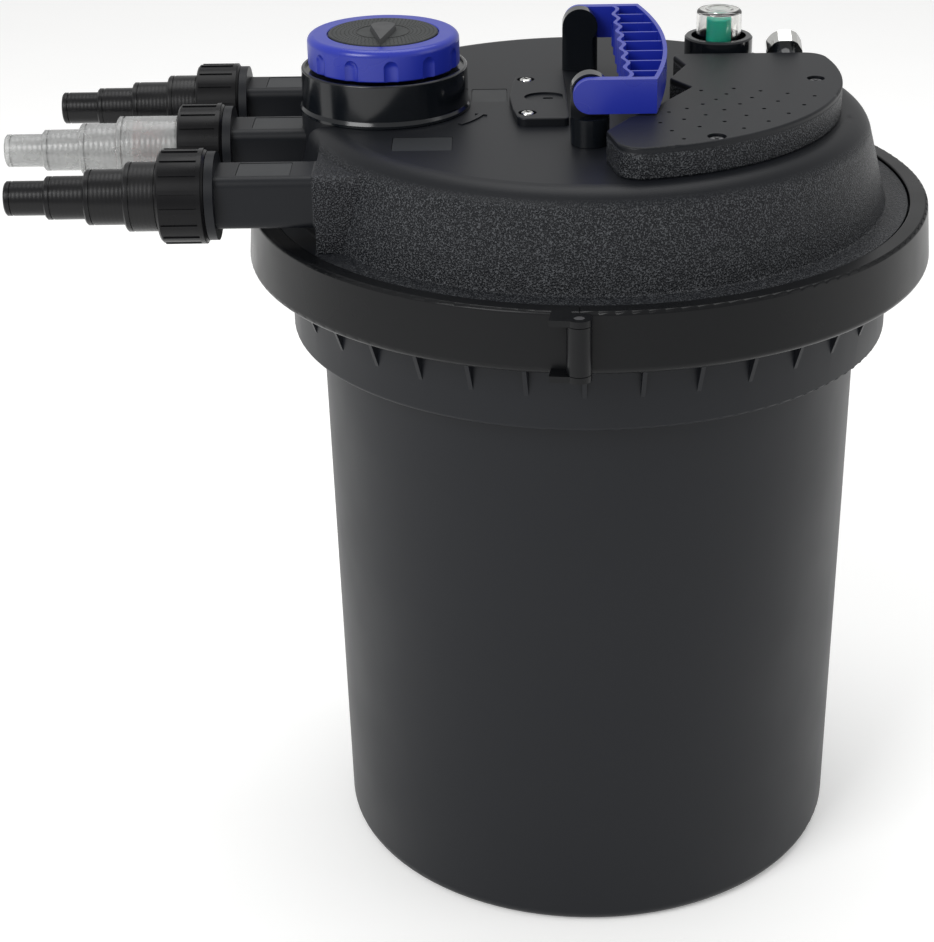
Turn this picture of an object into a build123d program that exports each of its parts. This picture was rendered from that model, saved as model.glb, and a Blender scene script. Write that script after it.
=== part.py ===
from build123d import *
import math
import os

# Pressurized pond filter: a bucket with a clamped domed lid. The lid carries a flow selector, three hose
# connections in a row, a cleaning handle on two pull rods, and a covered ultraviolet clarifier.
# Millimetres. The origin is the centre of the bucket's underside, +Z is up, the hoses leave towards -X.

MIN_UP = (Align.CENTER, Align.CENTER, Align.MIN)

# ---- clearances ----
running_fit = 0.06  # radial, shafts and rods in their holes
slip_gap = 0.4  # radial or axial, loose pieces beside each other
seat_gap = 0.3  # soft or moving piece over its seat
split_gap = 0.45  # between the two halves of the clamp ring

# ---- bucket ----
bucket_top_r = 169.0
bucket_draft = 3.5  # the bucket is this much narrower in radius at its base
bucket_wall = 3.5
bucket_edge_r = 8.0
band_height = 49.5
band_step = 17.7  # the band stands out this far from the bucket
band_wall = 3.7
band_edge_r = 2.0
flange_z = 409.0
flange_t = 6.0
flange_width = 16.3
gusset_count = 36
gusset_height = 27.0
gusset_depth = 8.5
gusset_t = 2.6

# ---- lid ----
seal_t = 3.0
seal_inset = 7.0  # from the flange's edge
seal_width = 8.5
lid_rim_t = 16.0
lid_step_inset = 6.2
lid_step_h = 4.7
lid_bearing_width = 25.0  # of the rim that bears on the seal
dome_inset = 20.3  # from the lid's edge to the foot of the dome
dome_draft = 14.2
dome_round_r = 16.0
lid_height = 76.0  # lid underside to plateau
lid_wall = 4.0

# ---- clamp ring ----
ring_height = 35.8
ring_play = 1.6  # radial, about the two flanges
ring_wall = 4.0
ring_draft = 3.1
ring_lip_t = 4.2
ring_proud = 1.3  # of the lid's step
ring_hinge_angle = -93.7
ring_hinge_offset = 4.3
knuckle_r = 7.0
knuckle_pin_r = 3.0
knuckle_ear_t = 3.6
latch_pivot_angle = 100.0
latch_offset = 5.8
latch_claw_angle = 80.5
latch_keeper_angle = 83.2
latch_height = 20.0
latch_plate_t = 3.2
latch_pin_r = 2.2
latch_ear_t = 3.2
latch_ear_r = 5.0
latch_barrel_r = 4.4

# ---- hose connections ----
port_pitch = 91.0
port_drop = 25.5  # from the plateau to the axis of the conduits
port_width = 36.0
port_height = 31.0
port_corner_r = 5.5
port_overhang = 14.5  # past the lid's edge
port_bore_r = 13.0
box_face_inset = 21.7  # from the foot of the dome
box_wall = 4.0
collar_flange_step = 2.9
collar_flange_t = 5.0
spigot_length = 18.0
union_seal_t = 1.6
union_wall = 4.8
union_length = 27.0
union_rib_count = 16
union_rib_t = 2.2
union_rib_h = 0.7
tail_radii = (20.0, 16.0, 12.5, 10.0)
tail_step_length = 23.2
tail_first_step = 24.6
clear_tail_first_step = 43.0
tail_wall = 2.4
tail_flange_step = 2.4
tail_flange_t = 3.0
tail_relief = 2.0  # length of the relieved neck outside the union
groove_depth = 0.8
groove_width = 1.2
groove_inset = 3.2
tail_chamfer = 0.9
float_inset = 4.1  # from the tail's bore to the float's fins
float_stand_off = 8.0
float_length = 16.0
float_fin_t = 1.6

# ---- flow selector ----
selector_inset = 44.5  # from the rim of the plateau to the knob's axis
boss_inset = 0.6
collar_foot = 1.6
collar_r = 50.2
collar_height = 25.8
collar_wall = 3.6
collar_rim_h = 1.6
knob_r = 45.8
knob_height = 18.5
knob_gap = 1.0
knob_edge_r = 4.0
flute_count = 12
flute_r = 7.0
flute_depth = 1.7
flute_height = 15.0
flute_turn = -7.0
disc_r = 33.0
disc_t = 2.0
disc_proud = 0.5
pointer_head_r = 8.0
pointer_length = 42.0
pointer_t = 3.0
selector_shaft_r = 8.0
rotor_r = 26.0
rotor_height = 52.0
housing_wall = 3.5
housing_floor = 3.0
housing_port_r = 11.0
standpipe_r = 20.0
standpipe_wall = 2.5
standpipe_foot_z = 20.0

# ---- cleaning handle and pull rods ----
post_x = -2.7
cheek_gap = 1.7  # between a post and the handle's arm
post_r = 11.2
post_base_h = 16.0
post_cheek_t = 9.6
pivot_height = 29.0  # above the plateau
handle_half_width = 88.5
arm_t = 6.4
arm_height = 20.0
arm_end_r = 10.0
handle_pin_r = 4.0
handle_skin = 1.6  # wall left over the blind end of each pin hole
grip_inner_x = 18.2
grip_outer_x = 46.2
grip_corner_x = 35.0
grip_wall = 2.4
grip_floor = 2.6
grip_rib_count = 7
grip_rib_pitch = 22.0
grip_rib_t = 1.8
grip_wave = 1.3
grip_wave_count = 8
pull_rod_r = 5.0
rod_tip_depth = 12.0
rod_seal_r = 9.0
rod_seal_t = 5.0
pull_plate_z = 58.0
pull_plate_t = 6.0
pull_plate_gap = 6.0  # to the bucket's wall
rod_nut_t = 6.0
rod_nut_width = 16.0

# ---- foams and media ----
foam_count = 4
foam_t = 58.0
foam_gap = 7.0  # to the bucket's wall
foam_hole_gap = 3.0
tray_gap = 12.0  # to the bucket's wall
tray_height = 40.0
tray_wall = 2.4
media_height = 32.0

# ---- rod cover plate ----
plate_x = -31.0
plate_length = 35.0
plate_half_width = 48.0
plate_t = 5.0
plate_screw_x = -38.0
plate_screw_y = 36.0
plate_recess_d = 1.2
plate_slot_length = 6.5
plate_slot_width = 3.0

# ---- fasteners ----
screw_head_r = 3.9
screw_head_t = 2.6
screw_shank_r = 1.7
screw_shank_length = 5.0
screw_cross_width = 1.1
screw_cross_length = 4.6
screw_cross_depth = 1.3

# ---- ultraviolet unit ----
cover_height = 18.3
cover_wall = 2.6
cover_inset = 15.5  # from the rim of the plateau
cover_corner_r = 14.0
cover_lobe_r = 5.0
cover_notch_r = 1.6
cover_back_y = 43.0
cover_screw_seats = ((6.7, -63.54), (16.1, -7.22))  # inset from the cover's arc, and angle
cover_screw_pocket_r = 5.4
dimple_origin = (0.8, -4.0)
dimple_radius = 73.5
dimple_radius_pitch = 16.3
dimple_ring_count = 5
dimple_angle = -21.5
dimple_angle_pitch = 8.2
dimple_row_count = 7
dimple_r = 1.25
dimple_depth = 0.8
sleeve_x = 84.0
sleeve_y = -58.0
sleeve_r = 21.0
sleeve_wall = 1.8
sleeve_end_r = 4.0
sleeve_length = 265.0
sleeve_flange_width = 5.0
sleeve_flange_t = 4.0
lamp_r = 7.5
lamp_leg_offset = 9.0
lamp_length = 205.0
lamp_socket_gap = 2.2
lamp_socket_t = 22.0
ballast_size = (33.0, 56.0, 10.5)
ballast_centre = (107.0, -3.0)

# ---- indicator ----
indicator_x = 85.5
indicator_y = 68.5
indicator_socket_r = 21.6
indicator_socket_wall = 4.2
indicator_socket_h = 23.2
indicator_floor = 4.0
lens_r = 14.3
lens_wall = 1.8
lens_height = 40.0
lens_ring_r = 9.0
core_r = 8.0
core_bottom = 8.0
core_height = 22.6

# ---- cable gland ----
gland_x = 126.0
gland_z = 8.6  # above the plateau
gland_tilt = 28.0
gland_neck_r = 7.6
gland_neck_length = 13.0
gland_nut_width = 21.5
gland_nut_t = 12.0
gland_bore_r = 3.6
gland_seal_r = 6.2
gland_seal_t = 3.0

# ---- label places and arrow on the lid ----
panel_depth = 0.6
port_panel = (31.0, 23.0)
port_panel_x = -190.0
lid_panels = ((-60.8, 19.0, 22.0, 28.0), (-99.5, -79.0, 35.0, 26.0))
arrow_gap = 11.0  # outside the collar's foot
arrow_start = -43.0
arrow_end = -22.0
arrow_width = 3.2
arrow_t = 0.8
arrow_head = 8.0

# ---- levels that follow from the sizes above ----
bucket_base_r = bucket_top_r - bucket_draft
inner_base_r = bucket_base_r - bucket_wall
band_z = flange_z - band_height
band_r = bucket_top_r + band_step
flange_r = band_r + flange_width
seal_outer_r = flange_r - seal_inset
seal_inner_r = seal_outer_r - seal_width
lid_step_r = flange_r - lid_step_inset
dome_base_r = flange_r - dome_inset
dome_top_r = dome_base_r - dome_draft
ring_chamber_r = flange_r + ring_play
ring_top_r = ring_chamber_r + ring_wall
ring_base_r = ring_top_r + ring_draft
ring_lip_inner_r = lid_step_r + 2 * slip_gap
ring_hinge_r = ring_base_r + ring_hinge_offset
latch_pivot_r = ring_base_r + latch_offset
cover_arc_r = dome_top_r - cover_inset
rim_z = flange_z + flange_t
lid_z = rim_z + seal_t
rim_top_z = lid_z + lid_rim_t
step_top_z = rim_top_z + lid_step_h
plateau_z = lid_z + lid_height
ceiling_z = plateau_z - lid_wall
ring_z = step_top_z + ring_proud - ring_height
pivot_z = plateau_z + pivot_height
knob_z = plateau_z + collar_height + knob_gap
port_z = plateau_z - port_drop
port_top_z = port_z + port_height / 2
box_half_width = port_pitch + port_width / 2
port_rows = {"front": -port_pitch, "middle": 0.0, "rear": port_pitch}
tail_flange_r = tail_radii[0] + tail_flange_step
tail_bore_r = tail_radii[0] - tail_wall
spigot_r = tail_flange_r + slip_gap / 2
union_outer_r = spigot_r + union_wall
collar_flange_r = spigot_r + collar_flange_step
port_end_x = -flange_r - port_overhang
box_face_x = -dome_base_r + box_face_inset
union_x = port_end_x - collar_flange_t - slip_gap
spigot_end_x = port_end_x - collar_flange_t - spigot_length
tail_flange_x = spigot_end_x - union_seal_t
tail_start_x = tail_flange_x - tail_flange_t
union_end_x = union_x - union_length
selector_x = -dome_top_r + selector_inset
collar_base_r = collar_r + collar_foot
boss_r = collar_base_r - boss_inset
arrow_r = collar_base_r + arrow_gap
post_y = handle_half_width - arm_t - cheek_gap + post_r - post_cheek_t
housing_r = rotor_r + slip_gap + housing_wall
housing_z = ceiling_z - rotor_height - 2 * slip_gap - housing_floor


def rod(radius, z0, z1, x=0.0, y=0.0):
    return Pos(x, y, z0) * Cylinder(radius, z1 - z0, align=MIN_UP)


def tube(outer_r, inner_r, z0, z1, x=0.0, y=0.0):
    return rod(outer_r, z0, z1, x, y) - rod(inner_r, z0 - 1, z1 + 1, x, y)


def x_rod(radius, x0, x1, y, z):
    return Pos(x0, y, z) * Rot(0, 90, 0) * Cylinder(radius, x1 - x0, align=MIN_UP)


def y_rod(radius, y0, y1, x, z):
    return Pos(x, y0, z) * Rot(-90, 0, 0) * Cylinder(radius, y1 - y0, align=MIN_UP)


def block(x0, x1, y0, y1, z0, z1):
    corner = (Align.MIN, Align.MIN, Align.MIN)
    return Pos(x0, y0, z0) * Box(x1 - x0, y1 - y0, z1 - z0, align=corner)


def profile(points, radii=0.0):
    return make_face(FilletPolyline(*points, radius=radii, close=True))


def turned(points, radii=0.0, arc=360.0):
    return revolve(Plane.XZ * profile(points, radii), Axis.Z, arc)


def turned_about_x(points, y, z):
    return Pos(0, y, z) * revolve(profile(points), Axis.X)


def polar(radius, angle):
    return radius * math.cos(math.radians(angle)), radius * math.sin(math.radians(angle))


def cover_screw_places():
    return [polar(cover_arc_r - inset, angle) for inset, angle in cover_screw_seats]


def sector(r_in, r_out, start, end, z0, z1):
    outer = CenterArc((0, 0), r_out, start, end - start)
    inner = CenterArc((0, 0), r_in, start, end - start)
    sides = [Line(inner @ 0, outer @ 0), Line(inner @ 1, outer @ 1)]
    return Pos(0, 0, z0) * extrude(make_face([outer, inner] + sides), z1 - z0)


def pan_screw(x, y, z):
    head = Pos(x, y, z) * Cylinder(screw_head_r, screw_head_t, align=MIN_UP)
    head = fillet(head.edges().sort_by(Axis.Z)[-1], screw_head_t * 0.6)
    for angle in (20, 110):
        cross = Box(screw_cross_length, screw_cross_width, screw_cross_depth * 2)
        head -= Pos(x, y, z + screw_head_t) * Rot(0, 0, angle) * cross
    return head + rod(screw_shank_r, z - screw_shank_length, z + 0.5, x, y)


def screw_hole(x, y, z):
    return rod(screw_shank_r + running_fit, z - screw_shank_length - 0.5, z + 30, x, y)


# ---------------------------------------------------------------- bucket and clamp ring


def bucket():
    mouth_r = bucket_top_r - bucket_wall
    outline = [
        (0, 0),
        (bucket_base_r, 0),
        (bucket_top_r, band_z),
        (band_r, band_z),
        (band_r, flange_z),
        (flange_r, flange_z),
        (flange_r, rim_z),
        (band_r - band_wall, rim_z),
        (band_r - band_wall, band_z + band_wall),
        (mouth_r, band_z + band_wall),
        (inner_base_r, bucket_wall),
        (0, bucket_wall),
    ]
    inner_edge_r = bucket_edge_r - bucket_wall
    radii = [0, bucket_edge_r, 1.5, band_edge_r, 1.0, 0.8, 0.8, 0.8, 1.0, 0.8, inner_edge_r, 0]
    shape = turned(outline, radii)
    shoulder_z = ring_z - slip_gap
    web = [
        (band_r - 1, shoulder_z),
        (band_r + gusset_depth, shoulder_z),
        (band_r + gusset_depth - 1.5, shoulder_z - 4),
        (band_r - 1, shoulder_z - gusset_height),
    ]
    gusset = extrude(Plane.XZ * profile(web), gusset_t / 2, both=True)
    ribs = [Rot(0, 0, (i + 0.7) * 360 / gusset_count) * gusset for i in range(gusset_count)]
    return shape + ribs


def lid_seal():
    return tube(seal_outer_r, seal_inner_r, rim_z, lid_z)


def ring_body(start, span):
    z1 = ring_z + ring_height
    lip_r = band_r + 1.6
    outline = [
        (lip_r, ring_z),
        (ring_base_r, ring_z),
        (ring_top_r, z1),
        (ring_lip_inner_r, z1),
        (ring_lip_inner_r, rim_top_z + slip_gap),
        (ring_chamber_r, rim_top_z + slip_gap),
        (ring_chamber_r, ring_z + ring_lip_t),
        (lip_r, ring_z + ring_lip_t),
    ]
    radii = [1.0, 4.0, 2.2, 1.0, 0.4, 0.4, 0.4, 1.0]
    return Rot(0, 0, start) * turned(outline, radii, span)


def knuckle_centre():
    return polar(ring_hinge_r, ring_hinge_angle)


def latch_centre():
    return polar(latch_pivot_r, latch_pivot_angle)


def ring_half_right():
    trim = math.degrees(split_gap / 2 / ring_top_r)
    x, y = knuckle_centre()
    z0 = ring_z + knuckle_ear_t + slip_gap
    z1 = ring_z + ring_height - knuckle_ear_t - slip_gap
    shape = ring_body(ring_hinge_angle + trim, 180 - 2 * trim)
    shape -= rod(knuckle_r + slip_gap, ring_z - 2, z0, x, y)
    shape -= rod(knuckle_r + slip_gap, z1, ring_z + ring_height + 2, x, y)
    shape += rod(knuckle_r, z0, z1, x, y)
    shape -= rod(knuckle_pin_r + running_fit, ring_z - 2, ring_z + ring_height + 2, x, y)
    middle_z = ring_z + ring_height / 2
    keeper = sector(
        ring_top_r - 1.5,
        latch_pivot_r - latch_plate_t / 2 - 0.8,
        latch_keeper_angle - 1.0,
        latch_keeper_angle + 1.0,
        middle_z - latch_height / 2 - 3,
        middle_z + latch_height / 2 + 3,
    )
    return shape + keeper


def ring_half_left():
    trim = math.degrees(split_gap / 2 / ring_top_r)
    x, y = knuckle_centre()
    z0 = ring_z + knuckle_ear_t
    z1 = ring_z + ring_height - knuckle_ear_t
    shape = ring_body(ring_hinge_angle + 180 + trim, 180 - 2 * trim)
    shape -= rod(knuckle_r + 2 * slip_gap, z0, z1, x, y)
    for low, high in ((ring_z, z0), (z1, ring_z + ring_height)):
        ear = rod(knuckle_r, low, high, x, y)
        angles = (ring_hinge_angle - 4.2, ring_hinge_angle - 1.2)
        tie = sector(ring_top_r - 3, ring_hinge_r + 5, *angles, low, high)
        shape += ear + tie
    shape -= rod(knuckle_pin_r + running_fit, ring_z - 2, ring_z + ring_height + 2, x, y)
    px, py = latch_centre()
    middle_z = ring_z + ring_height / 2
    half = latch_height / 2 + slip_gap
    for low in (middle_z - half - latch_ear_t, middle_z + half):
        high = low + latch_ear_t
        ear = rod(latch_ear_r, low, high, px, py)
        start, end = latch_pivot_angle - 1.1, latch_pivot_angle + 1.6
        tie = sector(ring_top_r - 1.5, latch_pivot_r + 1, start, end, low, high)
        shape += ear + tie
        shape -= rod(latch_pin_r, low - 1, high + 1, px, py)
    return shape


def knuckle_pin():
    x, y = knuckle_centre()
    return rod(knuckle_pin_r, ring_z + 0.4, ring_z + ring_height - 0.4, x, y)


def latch_pin():
    x, y = latch_centre()
    middle_z = ring_z + ring_height / 2
    half = latch_height / 2 + slip_gap + latch_ear_t
    return rod(latch_pin_r, middle_z - half, middle_z + half, x, y)


def latch_lever():
    x, y = latch_centre()
    middle_z = ring_z + ring_height / 2
    z0 = middle_z - latch_height / 2
    z1 = middle_z + latch_height / 2
    r0 = latch_pivot_r - latch_plate_t / 2 + 0.2
    plate = sector(r0, r0 + latch_plate_t, latch_claw_angle, latch_pivot_angle, z0, z1)
    claw = sector(ring_base_r + 1.0, r0 + 1, latch_claw_angle, latch_claw_angle + 0.9, z0, z1)
    tab = sector(r0, r0 + latch_plate_t, latch_claw_angle - 4, latch_claw_angle + 1, z0 + 4, z1 - 4)
    barrel = rod(latch_barrel_r, z0, z1, x, y)
    return plate + claw + tab + barrel - rod(latch_pin_r + running_fit, z0 - 1, z1 + 1, x, y)


# ---------------------------------------------------------------- lid


def recess_panel(x, y, z, length, width):
    return Pos(x, y, z) * extrude(RectangleRounded(length, width, 1.2), 2 * panel_depth, both=True)


def lid_arrow():
    inner = arrow_r - arrow_width / 2
    shaft = sector(inner, inner + arrow_width, arrow_start, arrow_end, plateau_z - 0.3, plateau_z + arrow_t)
    x, y = polar(arrow_r, arrow_end)
    tip_x, tip_y = polar(arrow_head, arrow_end + 90)
    side_x, side_y = polar(arrow_head / 2, arrow_end)
    corners = [(x + tip_x, y + tip_y), (x + side_x, y + side_y), (x - side_x, y - side_y)]
    head = extrude(make_face(Polyline(*corners, close=True)), arrow_t + 0.3)
    return Pos(selector_x, 0, 0) * (shaft + Pos(0, 0, plateau_z - 0.3) * head)


def port_section(width, height, corner):
    return Plane.YZ * RectangleRounded(width, height, corner)


def lid():
    outer = [
        (0, lid_z),
        (flange_r, lid_z),
        (flange_r, rim_top_z),
        (lid_step_r, rim_top_z),
        (lid_step_r, step_top_z),
        (dome_base_r, step_top_z),
        (dome_top_r, plateau_z),
        (0, plateau_z),
    ]
    shape = turned(outer, [0, 0.8, 0.8, 0.4, 0.8, 1.2, dome_round_r, 0])
    shape += rod(boss_r, step_top_z, plateau_z, selector_x)
    box_top = port_top_z - step_top_z
    face = Pos(0, 0, step_top_z + box_top / 2) * port_section(2 * box_half_width, box_top, port_corner_r)
    box = extrude(Pos(box_face_x, 0, 0) * face, -box_face_x - dome_base_r / 2)
    box += block(box_face_x, -dome_base_r / 2, -box_half_width, box_half_width, step_top_z - 1, port_z)
    shape += box
    for y in port_rows.values():
        arm = Pos(port_end_x, y, port_z) * port_section(port_width, port_height, port_corner_r)
        shape += extrude(arm, -port_end_x - dome_base_r / 1.5)
        shape += x_rod(collar_flange_r, port_end_x - collar_flange_t, port_end_x, y, port_z)
        shape += x_rod(spigot_r, spigot_end_x, port_end_x, y, port_z)
    inner_base = flange_r - lid_bearing_width + 0.5
    inner = [
        (0, lid_z - 1),
        (inner_base, lid_z - 1),
        (inner_base, step_top_z - lid_wall),
        (dome_top_r - lid_wall, ceiling_z),
        (0, ceiling_z),
    ]
    shape -= turned(inner, [0, 0, 0, dome_round_r - lid_wall, 0])
    shape -= rod(boss_r - lid_wall, lid_z - 1, ceiling_z, selector_x)
    cavity_y = box_half_width - box_wall
    shape -= block(
        box_face_x + box_wall, -dome_base_r / 2, -cavity_y, cavity_y, step_top_z, port_top_z - box_wall
    )
    for y in port_rows.values():
        shape -= x_rod(port_bore_r, spigot_end_x - 1, -dome_base_r / 1.5, y, port_z)
        shape -= recess_panel(port_panel_x, y, port_top_z, *port_panel)
    for x, y, length, width in lid_panels:
        shape -= recess_panel(x, y, plateau_z, length, width)
    shape -= rod(selector_shaft_r + running_fit, ceiling_z - 1, plateau_z + 1, selector_x)
    shape -= rod(sleeve_r + slip_gap, ceiling_z - 1, plateau_z + 1, sleeve_x, sleeve_y)
    for side in (-1, 1):
        shape -= rod(pull_rod_r + running_fit, ceiling_z - 1, plateau_z + 1, post_x, side * post_y)
        shape -= screw_hole(plate_screw_x, side * plate_screw_y, plateau_z)
    for x, y in cover_screw_places():
        shape -= rod(screw_shank_r + running_fit, ceiling_z - 1, plateau_z + 1, x, y)
    return shape + lid_arrow()


# ---------------------------------------------------------------- hose connections


def union_nut(y):
    x1 = union_x
    x0 = x1 - union_length
    shape = x_rod(union_outer_r - union_rib_h, x0, x1, y, port_z)
    shape = chamfer(shape.edges().filter_by(GeomType.CIRCLE), 1.2)
    for i in range(union_rib_count):
        rib = block(x0 + 2.0, x1 - 1.6, -union_rib_t / 2, union_rib_t / 2, union_outer_r - 4, union_outer_r)
        shape += Pos(0, y, port_z) * Rot(i * 360 / union_rib_count, 0, 0) * rib
    shape += x_rod(union_outer_r, x1 - 4.0, x1 - 1.4, y, port_z)
    shape -= x_rod(spigot_r + slip_gap, tail_start_x - slip_gap, x1 + 1, y, port_z)
    return shape - x_rod(tail_radii[0] + slip_gap, x0 - 1, x1, y, port_z)


def union_seal(y):
    ring = x_rod(spigot_r - 0.6, tail_flange_x, spigot_end_x, y, port_z)
    return ring - x_rod(port_bore_r, tail_flange_x - 1, spigot_end_x + 1, y, port_z)


def hose_tail(y, first_step):
    points = [(tail_flange_x, tail_flange_r), (tail_start_x, tail_flange_r)]
    inner = [(tail_flange_x + 1, tail_radii[0] - tail_wall)]
    x = tail_start_x
    neck_x = union_end_x - tail_relief
    neck_r = tail_radii[0] - groove_depth
    points += [(tail_start_x, neck_r), (neck_x, neck_r)]
    for index, radius in enumerate(tail_radii):
        length = first_step if index == 0 else tail_step_length
        start = neck_x if index == 0 else x
        end = x - length
        groove_x = end + groove_inset
        points += [(start, radius), (groove_x + groove_width, radius)]
        points += [(groove_x + groove_width, radius - groove_depth), (groove_x, radius - groove_depth)]
        points += [(groove_x, radius), (end + tail_chamfer, radius), (end, radius - tail_chamfer)]
        bore_end = end - 2 if index == len(tail_radii) - 1 else end + tail_wall
        inner += [(bore_end, radius - tail_wall)]
        if index < len(tail_radii) - 1:
            inner += [(bore_end, tail_radii[index + 1] - tail_wall)]
        x = end
    points += [(x, 0), (tail_flange_x, 0)]
    inner += [(x - 2, 0), (tail_flange_x + 1, 0)]
    return turned_about_x(points, y, port_z) - turned_about_x(inner, y, port_z)


def flow_float():
    x0 = tail_start_x - clear_tail_first_step + tail_wall + float_stand_off
    x1 = x0 + float_length
    float_r = tail_bore_r - float_inset
    shape = x_rod(float_r * 0.45, x0, x1, 0, port_z)
    for angle in (0, 60, 120):
        fin = Box(float_length, 2 * float_r, float_fin_t)
        shape += Pos((x0 + x1) / 2, 0, port_z) * Rot(angle, 0, 0) * fin
    ring = x_rod(tail_bore_r - slip_gap / 2, x0, x0 + 5, 0, port_z)
    ring -= x_rod(float_r - 1.5, x0 - 1, x1 + 6, 0, port_z)
    return shape + ring


# ---------------------------------------------------------------- flow selector


def selector_collar():
    z1 = plateau_z + collar_height
    outline = [
        (collar_r - collar_wall, plateau_z),
        (collar_base_r, plateau_z),
        (collar_base_r, plateau_z + 2.0),
        (collar_r + 0.4, plateau_z + 4.0),
        (collar_r, z1),
        (collar_r - 2.2, z1),
        (collar_r - 2.2, z1 - collar_rim_h),
        (selector_shaft_r + running_fit, z1 - collar_rim_h),
        (selector_shaft_r + running_fit, z1 - collar_rim_h - collar_wall),
        (collar_r - collar_wall, z1 - collar_rim_h - collar_wall),
    ]
    radii = [0, 0.6, 0.5, 1.2, 1.0, 0.4, 0.4, 0, 0, 0]
    return Pos(selector_x, 0, 0) * turned(outline, radii)


def selector_knob():
    z1 = knob_z + knob_height
    outline = [
        (0, knob_z),
        (knob_r, knob_z),
        (knob_r, z1),
        (disc_r + 0.6, z1),
        (disc_r + 0.6, z1 - disc_t + disc_proud),
        (0, z1 - disc_t + disc_proud),
    ]
    shape = turned(outline, [0, 0.8, knob_edge_r, 0.8, 0, 0])
    groove_x = knob_r + flute_r - flute_depth
    groove = rod(flute_r, knob_z - 1, knob_z + flute_height - flute_r, groove_x)
    groove += Pos(groove_x, 0, knob_z + flute_height - flute_r) * Sphere(flute_r)
    shape -= [Rot(0, 0, flute_turn + (i + 0.5) * 360 / flute_count) * groove for i in range(flute_count)]
    shape = Pos(selector_x, 0, 0) * shape
    return shape - rod(selector_shaft_r, knob_z - 1, knob_z + 10, selector_x)


def knob_disc():
    z0 = knob_z + knob_height - disc_t + disc_proud
    plate = rod(disc_r, z0, z0 + disc_t, selector_x)
    return chamfer(plate.edges().sort_by(Axis.Z)[-1], 0.5)


def knob_pointer():
    z0 = knob_z + knob_height + disc_proud
    head = Circle(pointer_head_r)
    tip = (0, 4.0 - pointer_length)
    half = pointer_head_r * 0.97
    wedge = make_face(Polyline((-half, -2.0), (half, -2.0), tip, close=True))
    body = extrude(head + wedge, pointer_t, taper=15)
    return Pos(selector_x, 4.0, z0) * body


def valve_rotor():
    z0 = housing_z + housing_floor + slip_gap
    drum = rod(rotor_r, z0, z0 + rotor_height, selector_x)
    drum -= rod(rotor_r - 3.0, z0 + 3, z0 + rotor_height - 3, selector_x)
    drum -= block(selector_x - 40, selector_x, -9, 9, port_z - 8, port_z + 8)
    drum -= rod(housing_port_r, z0 - 1, z0 + 4, selector_x)
    shaft = rod(selector_shaft_r, z0 + rotor_height - 4, knob_z + 10, selector_x)
    return drum + shaft


def valve_housing():
    shape = rod(housing_r, housing_z, ceiling_z, selector_x)
    shape -= rod(rotor_r + slip_gap, housing_z + housing_floor, ceiling_z + 1, selector_x)
    shape -= rod(housing_port_r, housing_z - 1, housing_z + housing_floor + 1, selector_x)
    for angle in (120, 180, 240):
        port = Rot(0, 90, 0) * Cylinder(8.5, 60, align=MIN_UP)
        port = Pos(selector_x, 0, port_z) * Rot(0, 0, angle) * port
        shape -= port
    return shape


def standpipe():
    pipe = tube(standpipe_r, standpipe_r - standpipe_wall, standpipe_foot_z, housing_z, selector_x)
    for angle in (0, 90):
        pipe -= Pos(selector_x, 0, standpipe_foot_z) * Rot(0, 0, angle) * Box(60, 10, 24)
    return pipe


# ---------------------------------------------------------------- cleaning handle


def handle_post(side):
    base_z = plateau_z + seat_gap
    y = side * post_y
    shape = rod(post_r, base_z, base_z + post_base_h, post_x, y)
    cheek_y = y - side * (post_r - post_cheek_t / 2)
    column = block(
        post_x - post_r,
        post_x + post_r,
        cheek_y - post_cheek_t / 2,
        cheek_y + post_cheek_t / 2,
        base_z,
        pivot_z,
    )
    shape += column & rod(post_r + 2.5, base_z, pivot_z, post_x, y)
    shape += y_rod(post_r, cheek_y - post_cheek_t / 2, cheek_y + post_cheek_t / 2, post_x, pivot_z)
    hub_y = sorted((cheek_y, side * (handle_half_width + 0.4)))
    shape -= y_rod(handle_pin_r, hub_y[0], hub_y[1], post_x, pivot_z)
    return shape - rod(pull_rod_r, base_z - 1, base_z + rod_tip_depth, post_x, y)


def handle_pin(side):
    cheek_y = side * (post_y - post_r + post_cheek_t / 2)
    ends = sorted((cheek_y, side * (handle_half_width - handle_skin - slip_gap)))
    return y_rod(handle_pin_r, ends[0], ends[1], post_x, pivot_z)


def grip_plan(inset):
    half = handle_half_width - inset
    corner = (grip_corner_x - inset * 0.6, half)
    apex = (grip_outer_x - inset, 0)
    return corner, apex, half


def wave_line(offset, half):
    steps = 2 * grip_wave_count
    ends = grip_inner_x + offset
    points = [(ends, half)]
    for i in range(1, steps):
        bulge = grip_wave if i % 2 else -grip_wave
        points.append((ends + bulge, half - i * 2 * half / steps))
    points.append((ends, -half))
    return Spline(*points)


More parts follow.
